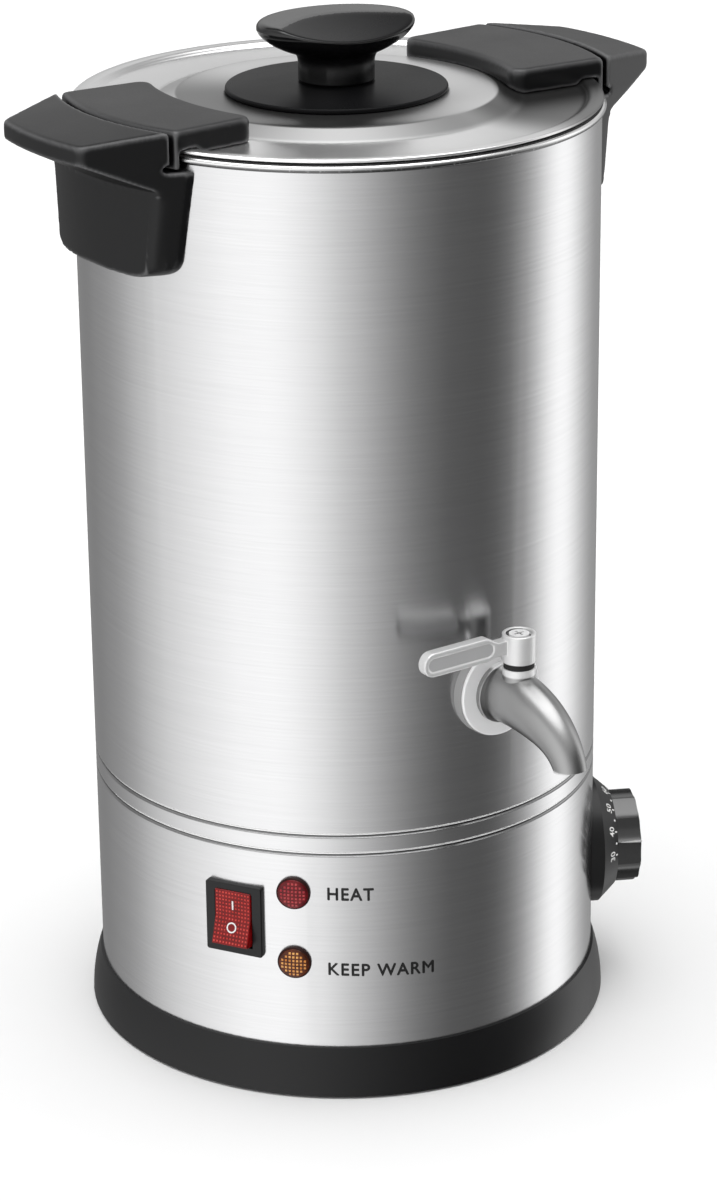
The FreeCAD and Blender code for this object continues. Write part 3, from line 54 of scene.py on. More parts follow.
class Shade:
    """One value in a material's node tree; arithmetic on it adds Math nodes."""

    def __init__(self, tree, socket=None):
        self.tree = tree
        self.socket = socket

    def make(self, kind, values=None, output=0, **settings):
        """Adds a node of this kind: its settings first, then its sockets' values or links."""
        node = self.tree.nodes.new("ShaderNode" + kind)
        for name, setting in settings.items():
            if name == "stops":
                ramp = node.color_ramp.elements
                while len(ramp) < len(setting):
                    ramp.new(1.0)
                for stop, (place, colour) in zip(ramp, setting):
                    stop.position = place
                    stop.color = colour
            else:
                setattr(node, name, setting)
        for key, value in (values or {}).items():
            if isinstance(value, Shade):
                self.tree.links.new(value.socket, node.inputs[key])
            else:
                node.inputs[key].default_value = value
        return Shade(self.tree, node.outputs[output])

    def maths(self, operation, *others):
        """A Math node; its first value is this one unless the others hold it."""
        values = others if self in others else (self, *others)
        return self.make("Math", dict(enumerate(values)), operation=operation)

    def __add__(self, other):
        return self.maths("ADD", other)

    def __mul__(self, other):
        return self.maths("MULTIPLY", other)

    def __sub__(self, other):
        return self.maths("SUBTRACT", other)

    def __rsub__(self, other):
        return self.maths("SUBTRACT", other, self)

    def __truediv__(self, other):
        return self.maths("DIVIDE", other)

    __radd__ = __add__
    __rmul__ = __mul__

    def step(self, low, high):
        """0 below low and 1 above high, smoothly."""
        return self.make("MapRange", {"Value": self, "From Min": low, "From Max": high},
                         interpolation_type="SMOOTHSTEP")

    def place(self):
        return self.make("TexCoord", output="Object")

    def along(self, axis):
        """One number of this place or direction: 0, 1 or 2 for X, Y or Z."""
        return self.make("SeparateXYZ", {0: self}, output=axis)

    def noise(self, scale, detail=2.0, roughness=0.5, stretch=(1, 1, 1)):
        spot = self.make("Mapping", {"Vector": self.place(), "Scale": [scale * side for side in stretch]})
        return self.make("TexNoise", {"Vector": spot, "Scale": 1.0, "Detail": detail, "Roughness": roughness})

    def mix(self, low, high):
        """A colour between two, as far towards the second as this value says."""
        return self.make("Mix", {0: self, 6: low, 7: high}, output=2, data_type="RGBA")

    def tint(self, low, high):
        return self.mix((*low, 1), (*high, 1))


def new_material(name, **uniform):
    """A material with one Principled shader; uniform values go on the shader's own sockets."""
    material = bpy.data.materials.new(name)
    material.use_nodes = True
    shader = material.node_tree.nodes["Principled BSDF"]
    for key, value in uniform.items():
        shader.inputs[key.replace("_", " ")].default_value = value
    return material, Shade(material.node_tree)


def feed(material, **links):
    shader = material.node_tree.nodes["Principled BSDF"]
    for key, value in links.items():
        material.node_tree.links.new(value.socket, shader.inputs[key.replace("_", " ")])


def between(colour, spread):
    """The colour a little darker and a little lighter."""
    return [c * (1 - spread) for c in colour], [min(1.0, c * (1 + spread)) for c in colour]


def moulded(name, colour, roughness, grain_size=0.0006, grain_depth=0.00002, **uniform):
    """Moulded plastic or rubber: an even fine grain, with a slow drift in tone and gloss."""
    material, start = new_material(name, **uniform)
    grain = start.noise(1 / grain_size, 2.0, 0.6)
    drift = start.noise(30.0, 3.0)
    bump = start.make("Bump", {"Strength": 0.4, "Distance": grain_depth, "Height": grain})
    feed(material, Base_Color=drift.tint(*between(colour, 0.12)),
         Roughness=(drift - 0.5) * 0.1 + (grain - 0.5) * 0.08 + roughness, Normal=bump)
    return material


def dress(material, *nodes):
    for node in nodes:
        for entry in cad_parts[node].material_slots:
            entry.material = material


satin_black = moulded("satin_black_plastic", (0.005, 0.005, 0.0055), 0.34, Specular_IOR_Level=0.3)
black_rubber = moulded("black_rubber", (0.010, 0.010, 0.010), 0.75, 0.0012, 0.00006)
dress(satin_black, "base_ring")
dress(black_rubber, "rubber_foot_ring")


# ---------------------------------------------------------------- floor plate
# Zinc-plated sheet steel with a ring of vents, on four pan-head screws in the base ring.
# The plating shows faint flat spangles.

def plated_steel(name, tint, roughness, spangle=0.004):
    material, start = new_material(name, Metallic=1.0)
    spangles = start.make("TexVoronoi", {"Vector": start.place(), "Scale": 1 / spangle}, output="Distance")
    wear = start.noise(150.0, 4.0, 0.6)
    tone = (spangles * 0.4 + wear * 0.8).tint(*between(tint, 0.14))
    feed(material, Base_Color=tone, Roughness=(wear - 0.5) * 0.2 + roughness)
    return material


zinc_steel = plated_steel("zinc_plated_steel", (0.55, 0.56, 0.57), 0.38)
dress(zinc_steel, "floor_plate", "floor_screws")


# ---------------------------------------------------------------- outer shell
# One sheet of stainless steel rolled into a tube, with two pressed beads above the base.
# It is brushed round the pot in fine level scratches, and each bead has painted shade lines below and a
# painted highlight above.

bead_heights = (0.1148, 0.1235)
# At each bead: two painted shade lines below its middle, then a painted highlight band, which also loses some
# mirror so it shows pale.
bead_shade_and_highlight_bands = (    # bottom and top from the bead's middle, strength, tone
    (-0.0014, -0.0005, 0.70, 0.11),
    (-0.0006, -0.0001, 0.92, 0.05),
    (0.0, 0.0011, 1.0, 1.0))
band_fade_in = 0.0002
band_fade_out = 0.0003
highlight_band_matte = 0.62    # how much of the mirror a bead's bright band loses


def brushed_round(name, tint, roughness):
    """Steel brushed level round the pot, with painted shade and highlight lines at its beads."""
    material, start = new_material(name, Anisotropic=0.75, Anisotropic_Rotation=0.25)
    fine = start.noise(1.0, 3.0, 0.7, (30, 30, 2200))
    long_runs = start.noise(1.0, 3.0, 0.6, (12, 12, 900))
    cloud = start.noise(1.0, 2.0, 0.5, (5, 5, 14))
    rough = (fine - 0.5) * 0.05 + (long_runs - 0.5) * 0.04 + (cloud - 0.5) * 0.03 + roughness
    tone = (fine * 0.5 + long_runs * 0.5).tint(*between(tint, 0.11))
    metal = 1.0
    height = start.place().along(2)
    for bead in bead_heights:
        for bottom, top, strength, shade in bead_shade_and_highlight_bands:
            above_bottom = height.step(bead + bottom, bead + bottom + band_fade_in)
            above_top = height.step(bead + top, bead + top + band_fade_out)
            inside = above_bottom * (1 - above_top)
            tone = (inside * strength).mix(tone, (shade, shade, shade, 1))
        metal = metal - inside * highlight_band_matte
    feed(material, Base_Color=tone, Roughness=rough, Metallic=metal)
    return material


dress(brushed_round("brushed_shell_steel", (0.64, 0.64, 0.645), 0.21), "outer_shell")


# ---------------------------------------------------------------- inner pot
# Deep-drawn stainless pot that hangs in the shell by its rolled rim.
# Its wall is drawn smooth and keeps faint rubbing marks.

def polished(name, tint, roughness, scuff=0.05, **uniform):
    """Bright metal with faint rubbing marks."""
    material, start = new_material(name, **{"Metallic": 1.0, **uniform})
    rubbed = start.noise(260.0, 5.0, 0.65)
    cloud = start.noise(35.0, 2.0)
    feed(material, Base_Color=cloud.tint(*between(tint, 0.03)),
         Roughness=(rubbed - 0.5) * 2 * scuff + (cloud - 0.5) * scuff + roughness)
    return material


dress(polished("drawn_pot_steel", (0.70, 0.70, 0.705), 0.2, Metallic=0.7), "inner_pot")


# ---------------------------------------------------------------- heating parts
# A sheathed element is clamped to a cast aluminium disc under the pot's floor, all on one brass stud.
# A thermal cut-out sits beside it, and a plate held between the shell's beads keeps the heat above.

cast_aluminium = plated_steel("cast_aluminium", (0.58, 0.58, 0.59), 0.5, 0.0012)
brass = polished("brass", (0.72, 0.56, 0.26), 0.24)
element_sheath = polished("heat_blued_sheath", (0.36, 0.34, 0.33), 0.34, 0.08)
dress(cast_aluminium, "heat_spreader")
dress(element_sheath, "heating_element")
dress(zinc_steel, "element_clamp", "separator_plate", "stud_nuts", "thermal_cutout")
dress(brass, "centre_stud")


# ---------------------------------------------------------------- tap
# Cast stainless tap on a washer and silicone rings, held by a nut inside the pot.
# Its lever is cast with rounded edges and a satin panel sunk in each face of the blade, and turns the
# plug under one cross-head screw.

def painted_light_steel(name, change_at, near, far, roughness):
    """Cast steel that goes from one (tint, metallic) to another as change_at goes from 0 to 1, to paint light
    and shade on it.
    """
    material, start = new_material(name)
    change = change_at(*[start.place().along(axis) for axis in range(3)])
    rubbed = start.noise(260.0, 5.0, 0.65)
    cloud = start.noise(35.0, 2.0)
    feed(material, Base_Color=(change + (cloud - 0.5) * 0.06).tint([near[0]] * 3, [far[0]] * 3),
         Metallic=change * (far[1] - near[1]) + near[1], Roughness=(rubbed - 0.5) * 0.1 + roughness)
    return material


neck_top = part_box("tap_body")[1][2]
outlet_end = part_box("tap_body")[0][2]
lever_axis = -0.1291    # Y of the plug's axis
lever_front = -0.1304
lever_back = -0.1252
lever_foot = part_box("tap_lever")[0][2]
hub_top = lever_foot + 0.0126


# The neck and the spout's mouth are painted pale, as highlights, on the darker body of the tap.
def neck_and_mouth_highlight(x, y, z):
    """1 on the tap's neck and at the spout's mouth."""
    return z.step(neck_top - 0.0036, neck_top - 0.0026) + 1 - z.step(outlet_end + 0.0014, outlet_end + 0.0026)


# The lever's side towards the pot is painted dark, as shade, so the shell mirrors it as a dark patch.
def lever_inside_shade(x, y, z):
    """1 on the lever's side towards the pot, below the hub's top."""
    return y.step(lever_back - 0.0010, lever_back) * (1 - z.step(hub_top - 0.0008, hub_top - 0.0004))


tap_steel = painted_light_steel("satin_tap_steel", neck_and_mouth_highlight, (0.33, 1.0), (0.78, 0.30), 0.32)
lever_steel = painted_light_steel("cast_lever_steel", lever_inside_shade, (0.69, 0.46), (0.16, 1.0), 0.33)
panel_steel = polished("satin_panel_steel", (0.54, 0.54, 0.545), 0.42, Metallic=0.45)
washer_steel = polished("bright_washer_steel", (0.85, 0.85, 0.855), 0.36, Metallic=0.22)
# Painted shadow for the hub's screw recess, laid in as flat dark sheets below.
painted_recess_shadow = polished("painted_recess_shadow", (0.03, 0.03, 0.03), 0.5, Metallic=0.6)
silicone = moulded("grey_silicone", (0.30, 0.30, 0.30), 0.5, 0.0008)
dress(tap_steel, "tap_body", "tap_nut", "tap_plug")
dress(washer_steel, "tap_washer", "tap_lever_screw")
dress(silicone, "tap_outer_seal", "tap_inner_seal")
dress(black_rubber, "tap_stem_seal")


def make_piece(name, shape, body, slot, *materials):
    """Links a bmesh as a piece that rides on this body."""
    mesh = bpy.data.meshes.new(name)
    shape.to_mesh(mesh)
    shape.free()
    piece = bpy.data.objects.new(name, mesh)
    bpy.context.scene.collection.objects.link(piece)
    for material in materials:
        mesh.materials.append(material)
    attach(piece, body)
    return piece


def softened(node, voxel, passes):
    """A CAD piece's shape with every edge rounded as a mould leaves it, as a bmesh."""
    shape = bmesh.new()
    shape.from_mesh(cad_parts[node].data)
    bmesh.ops.remove_doubles(shape, verts=shape.verts, dist=1e-6)
    mesh = bpy.data.meshes.new(node)
    shape.to_mesh(mesh)
    shape.free()
    holder = bpy.data.objects.new(node, mesh)
    bpy.context.scene.collection.objects.link(holder)
    remesh = holder.modifiers.new("remesh", "REMESH")
    remesh.mode = "VOXEL"
    remesh.voxel_size = voxel
    smooth = holder.modifiers.new("smooth", "SMOOTH")
    smooth.factor = 0.5
    smooth.iterations = passes
    result = bpy.data.meshes.new_from_object(holder.evaluated_get(bpy.context.evaluated_depsgraph_get()))
    bpy.data.objects.remove(holder)
    bpy.data.meshes.remove(mesh)
    shape = bmesh.new()
    shape.from_mesh(result)
    bpy.data.meshes.remove(result)
    for face in shape.faces:
        face.smooth = True
    return shape


def ring_of_points(radius, count):
    """X and Y of points evenly round a circle."""
    turns = [2 * math.pi * k / count for k in range(count)]
    return [(radius * math.cos(turn), radius * math.sin(turn)) for turn in turns]


def join_loops(shape, near, far, smooth=False):
    """A band of faces between two closed loops of vertices."""
    faces = []
    for k in range(len(near)):
        after = (k + 1) % len(near)
        face = shape.faces.new((near[k], near[after], far[after], far[k]))
        face.smooth = smooth
        faces.append(face)
    return faces


def flat_ring(outer, inner=0.0, sides=24):
    """A flat ring, or a disc."""
    shape = bmesh.new()
    loops = [[shape.verts.new((x, y, 0)) for x, y in ring_of_points(radius, sides)]
             for radius in (outer, inner) if radius]
    if inner:
        join_loops(shape, *loops)
    else:
        shape.faces.new(loops[0])
    return shape


lever = softened("tap_lever", voxel=0.0003, passes=7)
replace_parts(make_piece("lever_casting", lever, "tap_lever_body", "polished_steel", lever_steel), "tap_lever")

panel_sunk = 0.00064
panel_radius = 0.00325
panel_height = lever_foot + 0.0086
panel_ends = ((-0.0169, -90), (-0.0442, 90))    # X of each end's centre, and the angle its arc starts at
panels = bmesh.new()
for face_y in (lever_front + panel_sunk, lever_back - panel_sunk):
    outline = []
    for end_x, first in panel_ends:
        turns = [math.radians(first + 15 * k) for k in range(13)]
        outline += [(end_x + panel_radius * math.cos(turn), face_y,
                     panel_height + panel_radius * math.sin(turn)) for turn in turns]
    panels.faces.new([panels.verts.new(spot) for spot in outline])
make_piece("lever_panels", panels, "tap_lever_body", "polished_steel", panel_steel)

# A dark ring on the recess floor and a dark cross in the screw's slot are painted shadow.
recess_outer = 0.00555
recess_inner = 0.0043
recess_depth = 0.00154
slot_depth = 0.00102
slot_reach = 0.0024
slot_half_width = 0.00045
recess = flat_ring(recess_outer, recess_inner, 32)
bmesh.ops.translate(recess, verts=recess.verts, vec=(0, lever_axis, hub_top - recess_depth))
slot_middle = Vector((0, lever_axis, hub_top - slot_depth))
for turn in (0, 90):
    spin = Matrix.Rotation(math.radians(turn), 4, "Z")
    corners = [(-slot_reach, -slot_half_width), (slot_reach, -slot_half_width),
               (slot_reach, slot_half_width), (-slot_reach, slot_half_width)]
    recess.faces.new([recess.verts.new(spin @ Vector((x, y, 0)) + slot_middle) for x, y in corners])
make_piece("screw_recess_shadow", recess, "tap_lever_body", "polished_steel", painted_recess_shadow)


# ---------------------------------------------------------------- temperature dial
# A conical bezel of black plastic with a printed white scale, screwed through the shell to the thermostat.
# The fluted grip is glossier, and a thin ridge on its side points at the scale; the ridge is painted pale grey
# as a highlight.

def facing(angle, height):
    """Turns a point (out from the axis, right as seen from outside, up) to this angle from the tap."""
    return Matrix.Translation((0, 0, height)) @ Matrix.Rotation(math.radians(angle - 90), 4, "Z")


def printed(words, height, width, spacing, weight=0.0):
    """Flat letters of this size over all, as a bmesh in the XY plane, centred along X."""
    text = bpy.data.curves.new("words", "FONT")
    text.body = words
    text.space_character = spacing
    text.offset = weight
    holder = bpy.data.objects.new("words", text)
    flat = bpy.data.meshes.new_from_object(holder)
    shape = bmesh.new()
    shape.from_mesh(flat)
    bpy.data.meshes.remove(flat)
    bpy.data.objects.remove(holder)
    bpy.data.curves.remove(text)
    bmesh.ops.remove_doubles(shape, verts=shape.verts, dist=1e-5)
    bmesh.ops.triangulate(shape, faces=shape.faces)
    low, high = [[pick(v.co[k] for v in shape.verts) for k in (0, 1)] for pick in (min, max)]
    wide = width / (high[0] - low[0])
    tall = height / (high[1] - low[1])
    for vertex in shape.verts:
        vertex.co = ((vertex.co.x - low[0]) * wide - width / 2, (vertex.co.y - low[1]) * tall, 0)
    return shape


def flat_bar(width, height):
    shape = bmesh.new()
    corners = [(-width / 2, 0), (width / 2, 0), (width / 2, height), (-width / 2, height)]
    shape.faces.new([shape.verts.new((x, y, 0)) for x, y in corners])
    return shape


def gather(into, shape, bend, paint=0, leave_out=None):
    """Adds a flat shape to a bmesh, with each of its points taken through bend."""
    matched = {vertex: into.verts.new(bend(vertex.co)) for vertex in shape.verts}
    for face in shape.faces:
        if leave_out is None or not leave_out(face.calc_center_median()):
            made = into.faces.new([matched[vertex] for vertex in face.verts])
            made.material_index = paint
    for vertex in matched.values():
        if not vertex.link_faces:
            into.verts.remove(vertex)
    shape.free()


def stamp_ink(name, low, high):
    """Printed ink: slightly uneven in tone where it sits on the grain."""
    material, start = new_material(name)
    speck = start.noise(2500.0, 3.0, 0.6)
    feed(material, Base_Color=speck.tint(low, high), Roughness=speck * 0.2 + 0.4)
    return material


white_ink = stamp_ink("white_print", (0.70, 0.70, 0.69), (0.88, 0.88, 0.87))
grip_black = moulded("dial_grip_plastic", (0.003, 0.003, 0.0033), 0.2, 0.0009, 0.000004,
                     Specular_IOR_Level=1.0)
painted_ridge_highlight = moulded("painted_ridge_highlight_plastic", (0.42, 0.42, 0.42), 0.3)
dress(satin_black, "dial_bezel")
dress(grip_black, "temperature_knob")
dress(zinc_steel, "thermostat_shaft", "thermostat_screws")

shell_radius = 0.1125
dial_place = facing(63.1, 0.0625)
cone_top_radius = 0.0226
cone_foot_radius = 0.0295
cone_top_reach = shell_radius + 0.0102
cone_foot_reach = shell_radius + 0.0026
cone_fall = (cone_top_reach - cone_foot_reach) / (cone_foot_radius - cone_top_radius)
print_lift = 0.00006
scale_start = 272.5    # degrees clockwise from the top, seen from outside, at the first number
scale_step = 13.0
scale_marks = 17
first_number = 30
number_step = 5
number_height = 0.0033
digit_width = 0.0023
dot_radius = 0.00055
mark_width = 0.0007
mark_length = 0.0015
dot_drop = 0.0013    # how far down the slope each of these is printed
mark_drop = 0.0005
number_drop = 0.0026


def on_cone(turn, across, outward):
    """A point on the bezel's cone: across runs clockwise, outward runs down the slope."""
    radius = cone_top_radius + outward / math.hypot(1, cone_fall)
    around = turn + across / radius
    reach = cone_top_reach - (radius - cone_top_radius) * cone_fall + print_lift
    return dial_place @ Vector((reach, radius * math.sin(around), radius * math.cos(around)))


dial_scale = bmesh.new()
for mark in range(scale_marks):
    turn = math.radians(scale_start + mark * scale_step)
    if mark % 2:
        gather(dial_scale, flat_ring(dot_radius), lambda spot: on_cone(turn, spot.x, spot.y + dot_drop))
    else:
        line = flat_bar(mark_width, mark_length)
        gather(dial_scale, line, lambda spot: on_cone(turn, spot.x, spot.y + mark_drop))
        words = str(first_number + number_step * mark)
        number = printed(words, number_height, digit_width * len(words), spacing=1.05, weight=0.012)
        gather(dial_scale, number, lambda spot: on_cone(turn, spot.x, spot.y + number_drop))
make_piece("dial_scale", dial_scale, "vessel", "black_satin", white_ink)

grip_radius = 0.0214
grip_low = cone_top_reach + 0.0004
grip_length = 0.0108
ridge_turn = math.radians(scale_start + scale_step)
ridge_root = -0.0008    # its two lower corners lie inside the grip
ridge_sections = (    # place along the grip, half width, height
    (0.1, 0.0002, 0.0001), (0.45, 0.0005, 0.0006), (0.93, 0.0007, 0.0008), (1.0, 0.0006, 0.0005))
ridge = bmesh.new()
loops = []
for share, half_width, proud in ridge_sections:
    loop = []
    shoulder = proud * 0.7
    for side, rise in ((-1, ridge_root), (-0.6, shoulder), (0, proud), (0.6, shoulder), (1, ridge_root)):
        around = ridge_turn + side * half_width / grip_radius
        radius = grip_radius + rise
        loop.append(ridge.verts.new(dial_place @ Vector(
            (grip_low + share * grip_length, radius * math.sin(around), radius * math.cos(around)))))
    loops.append(loop)
for near, far in zip(loops, loops[1:]):
    join_loops(ridge, near, far)
ridge.faces.new(loops[0])
ridge.faces.new(loops[-1])
bmesh.ops.recalc_face_normals(ridge, faces=ridge.faces)
make_piece("dial_ridge", ridge, "dial", "black_gloss", painted_ridge_highlight)


# ---------------------------------------------------------------- thermostat
# A box moulded in cream plastic behind the dial.
# A thin copper capillary runs from it up to a bulb in the aluminium disc.

cream_plastic = moulded("cream_plastic", (0.62, 0.57, 0.46), 0.45, 0.0009, 0.00003)
copper = polished("drawn_copper", (0.72, 0.38, 0.25), 0.25)
dress(cream_plastic, "thermostat_body")
dress(copper, "thermostat_capillary", "thermostat_bulb")


# ---------------------------------------------------------------- rocker switch
# A black frame that snaps into the shell, with a translucent red rocker on a cross pin.
# The rocker's face is moulded with a close grid of small pyramids, and its two marks are stamped white.

def studs_tree(material):
    """A grid of small pyramids, kept within a reach of its middle."""
    tree = bpy.data.node_groups.new("moulded_studs", "GeometryNodeTree")
    for name, kind in (("Width", "Float"), ("Length", "Float"), ("Columns", "Int"), ("Rows", "Int"),
                       ("Stud", "Float"), ("Rise", "Float"), ("Reach", "Float")):
        tree.interface.new_socket(name, in_out="INPUT", socket_type="NodeSocket" + kind)
    tree.interface.new_socket("Geometry", in_out="OUTPUT", socket_type="NodeSocketGeometry")
    given = tree.nodes.new("NodeGroupInput").outputs

    def add(kind, values, **settings):
        node = tree.nodes.new(kind)
        for name, setting in settings.items():
            setattr(node, name, setting)
        for key, value in values.items():
            if isinstance(value, bpy.types.NodeSocket):
                tree.links.new(value, node.inputs[key])
            else:
                node.inputs[key].default_value = value
        return node.outputs

    grid = add("GeometryNodeMeshGrid", {"Size X": given["Width"], "Size Y": given["Length"],
                                        "Vertices X": given["Columns"], "Vertices Y": given["Rows"]})
    spot = add("GeometryNodeInputPosition", {})
    distance = add("ShaderNodeVectorMath", {0: spot[0]}, operation="LENGTH")
    outside = add("FunctionNodeCompare", {0: distance["Value"], 1: given["Reach"]}, operation="GREATER_THAN")
    kept = add("GeometryNodeDeleteGeometry", {"Geometry": grid[0], "Selection": outside[0]})
    stud = add("GeometryNodeMeshCone",
               {"Vertices": 4, "Radius Bottom": given["Stud"], "Depth": given["Rise"]}, fill_type="NONE")
    turned = add("FunctionNodeInputVector", {}, vector=(0, 0, math.pi / 4))
    placed = add("GeometryNodeInstanceOnPoints",
                 {"Points": kept[0], "Instance": stud[0], "Rotation": turned[0]})
    solid = add("GeometryNodeRealizeInstances", {0: placed[0]})
    dressed = add("GeometryNodeSetMaterial", {"Geometry": solid[0], "Material": material})
    tree.links.new(dressed[0], tree.nodes.new("NodeGroupOutput").inputs[0])
    return tree


def studs(material, **sizes):
    """The tree's result as a bmesh, flat in the XY plane."""
    tree = studs_tree(material)
    holder = bpy.data.objects.new("studs", bpy.data.meshes.new("studs"))
    bpy.context.scene.collection.objects.link(holder)
    modifier = holder.modifiers.new("studs", "NODES")
    modifier.node_group = tree
    for item in tree.interface.items_tree:
        if item.in_out == "INPUT":
            modifier[item.identifier] = sizes[item.name]
    mesh = bpy.data.meshes.new_from_object(holder.evaluated_get(bpy.context.evaluated_depsgraph_get()))
    bpy.data.objects.remove(holder)
    shape = bmesh.new()
    shape.from_mesh(mesh)
    bpy.data.meshes.remove(mesh)
    return shape


def lens_plastic(name, deep, bright, glow):
    """Tinted clear plastic, deeper where it is thick, with a little light coming through."""
    material, start = new_material(name, Emission_Strength=glow, Specular_IOR_Level=0.25)
    depth = start.noise(220.0, 3.0, 0.6).step(0.3, 0.7)
    rough = start.noise(700.0, 3.0, 0.6)
    tone = depth.tint(deep, bright)
    feed(material, Base_Color=tone, Emission_Color=tone, Roughness=(rough - 0.5) * 0.08 + 0.13)
    return material


red_plastic = lens_plastic("red_rocker_plastic", (0.11, 0.001, 0.001), (0.20, 0.002, 0.003), 0.05)
red_glint = lens_plastic("red_rocker_glint", (0.42, 0.02, 0.016), (0.56, 0.06, 0.045), 0.14)
switch_place = facing(-59.8, 0.0808)
rocker_pivot = Vector((shell_radius - 0.0032, 0, 0))
rocker_tilt = Matrix.Rotation(math.radians(-10.0), 3, "Y")
rocker_half_width = 0.0085
rocker_reach = 0.0123
rocker_crest = shell_radius + 0.0028
rocker_rise = 0.00205    # from the middle of the face to each end
rocker_shoulder = rocker_pivot.x + 0.0010
rocker_back = rocker_pivot.x - 0.0045
rocker_back_reach = 0.0093


def rocker_face(up):
    return rocker_crest + rocker_rise * abs(up) / rocker_reach


def on_switch(out, right, up):
    """A point on the rocker, tilted as it rests."""
    return switch_place @ (rocker_pivot + rocker_tilt @ (Vector((out, right, up)) - rocker_pivot))


rocker = bmesh.new()
outline = [(rocker_back, -rocker_back_reach), (rocker_back, rocker_back_reach),
           (rocker_shoulder, rocker_reach), (rocker_face(rocker_reach), rocker_reach), (rocker_crest, 0),
           (rocker_face(rocker_reach), -rocker_reach), (rocker_shoulder, -rocker_reach)]
ends = [[rocker.verts.new(on_switch(out, side * rocker_half_width, up)) for out, up in outline]
        for side in (-1, 1)]
for end in ends:
    rocker.faces.new(end)
join_loops(rocker, *ends)
bmesh.ops.recalc_face_normals(rocker, faces=rocker.faces)
sharp = [edge for edge in rocker.edges if edge.calc_face_angle(0) > math.radians(35)]
bmesh.ops.bevel(rocker, geom=sharp, offset=0.0005, segments=3, profile=0.5, affect="EDGES")

bar_width = 0.0007
bar_length = 0.0041
bar_foot = 0.0036
circle_outer = 0.0023
circle_inner = 0.0017
circle_middle = -0.0044
bare_patches = (    # middle, half width and half height of each place without studs
    (0.0056, 0.0012, 0.0028), (circle_middle, 0.0029, 0.0029))


def under_mark(spot):
    return any(abs(spot.x) < wide and abs(spot.y - middle) < tall for middle, wide, tall in bare_patches)


grid = studs(red_glint, Width=0.0150, Length=0.0221, Columns=11, Rows=14, Stud=0.00052, Rise=0.00022,
             Reach=1.0)
gather(rocker, grid, lambda spot: on_switch(rocker_face(spot.y) + spot.z, spot.x, spot.y), 1, under_mark)
bar = flat_bar(bar_width, bar_length)
circle = flat_ring(circle_outer, circle_inner, 32)
for mark, origin in ((bar, bar_foot), (circle, circle_middle)):
    gather(rocker, mark, lambda spot: on_switch(
        rocker_face(spot.y + origin) + print_lift, spot.x, spot.y + origin), 2)
rocker_piece = make_piece("switch_rocker_face", rocker, "rocker", "red_lens",
                          red_plastic, red_glint, white_ink)
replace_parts(rocker_piece, "switch_rocker")
dress(satin_black, "switch_housing")
dress(brass, "switch_tabs")


# ---------------------------------------------------------------- signal lamps
# Two neon lamps, each pushed into the shell and held by a nut, with a domed lens in a dark rim.
# Rows of small pyramids inside each lens scatter its light.

lens_radius = 0.0067
lens_dome = 0.0012
lens_edge = shell_radius + 0.00172
lens_sides = 40
skirt = ((1.0, -0.0013), (1.0, 0.0))    # share of the radius, place out from the edge


def lens(name, place, base, glint, slot):
    """A shallow dome with studs on it."""
    shape = bmesh.new()
    climb = [math.radians(15 * k) for k in range(1, 6)]
    loops = []
    for share, out in [*skirt, *[(math.cos(turn), lens_dome * math.sin(turn)) for turn in climb]]:
        loops.append([shape.verts.new(place @ Vector((lens_edge + out, right, up)))
                      for right, up in ring_of_points(lens_radius * share, lens_sides)])
    for near, far in zip(loops, loops[1:]):
        join_loops(shape, near, far, True)
    shape.faces.new(loops[0][::-1])
    shape.faces.new(loops[-1]).smooth = True

    def on_dome(spot):
        share = math.hypot(spot.x, spot.y) / lens_radius
        out = lens_dome * math.sqrt(max(0.0, 1 - share ** 2))
        return place @ Vector((lens_edge + out + spot.z, spot.x, spot.y))

    grid = studs(glint, Width=0.0099, Length=0.0099, Columns=7, Rows=7, Stud=0.00066, Rise=0.00030,
                 Reach=0.0056)
    gather(shape, grid, on_dome, 1)
    return make_piece(name, shape, "vessel", slot, base, glint)


lamp_angle = -46.2
heating_place = facing(lamp_angle, 0.0963)
warm_place = facing(lamp_angle, 0.0634)
deep_red = lens_plastic("red_lamp_plastic", (0.07, 0.001, 0.003), (0.15, 0.004, 0.007), 0.03)
pale_red = lens_plastic("red_lamp_glint", (0.30, 0.02, 0.03), (0.42, 0.06, 0.06), 0.12)
deep_amber = lens_plastic("amber_lamp_plastic", (0.045, 0.008, 0.001), (0.10, 0.019, 0.003), 0.03)
pale_amber = lens_plastic("amber_lamp_glint", (0.46, 0.15, 0.025), (0.72, 0.38, 0.12), 0.16)
lamp_rim = moulded("dark_lamp_rim", (0.020, 0.004, 0.003), 0.25, 0.0009, 0.000004, Specular_IOR_Level=0.15)
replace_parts(lens("heating_lens", heating_place, deep_red, pale_red, "red_lens"), "heating_lamp_lens")
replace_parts(lens("warm_lens", warm_place, deep_amber, pale_amber, "amber_lens"), "warm_lamp_lens")
dress(lamp_rim, "lamp_holders")
dress(zinc_steel, "lamp_nuts")


# ---------------------------------------------------------------- labels
# The words beside the two lamps, which say what each lamp stands for.
# They are printed in black ink, straight on the shell.

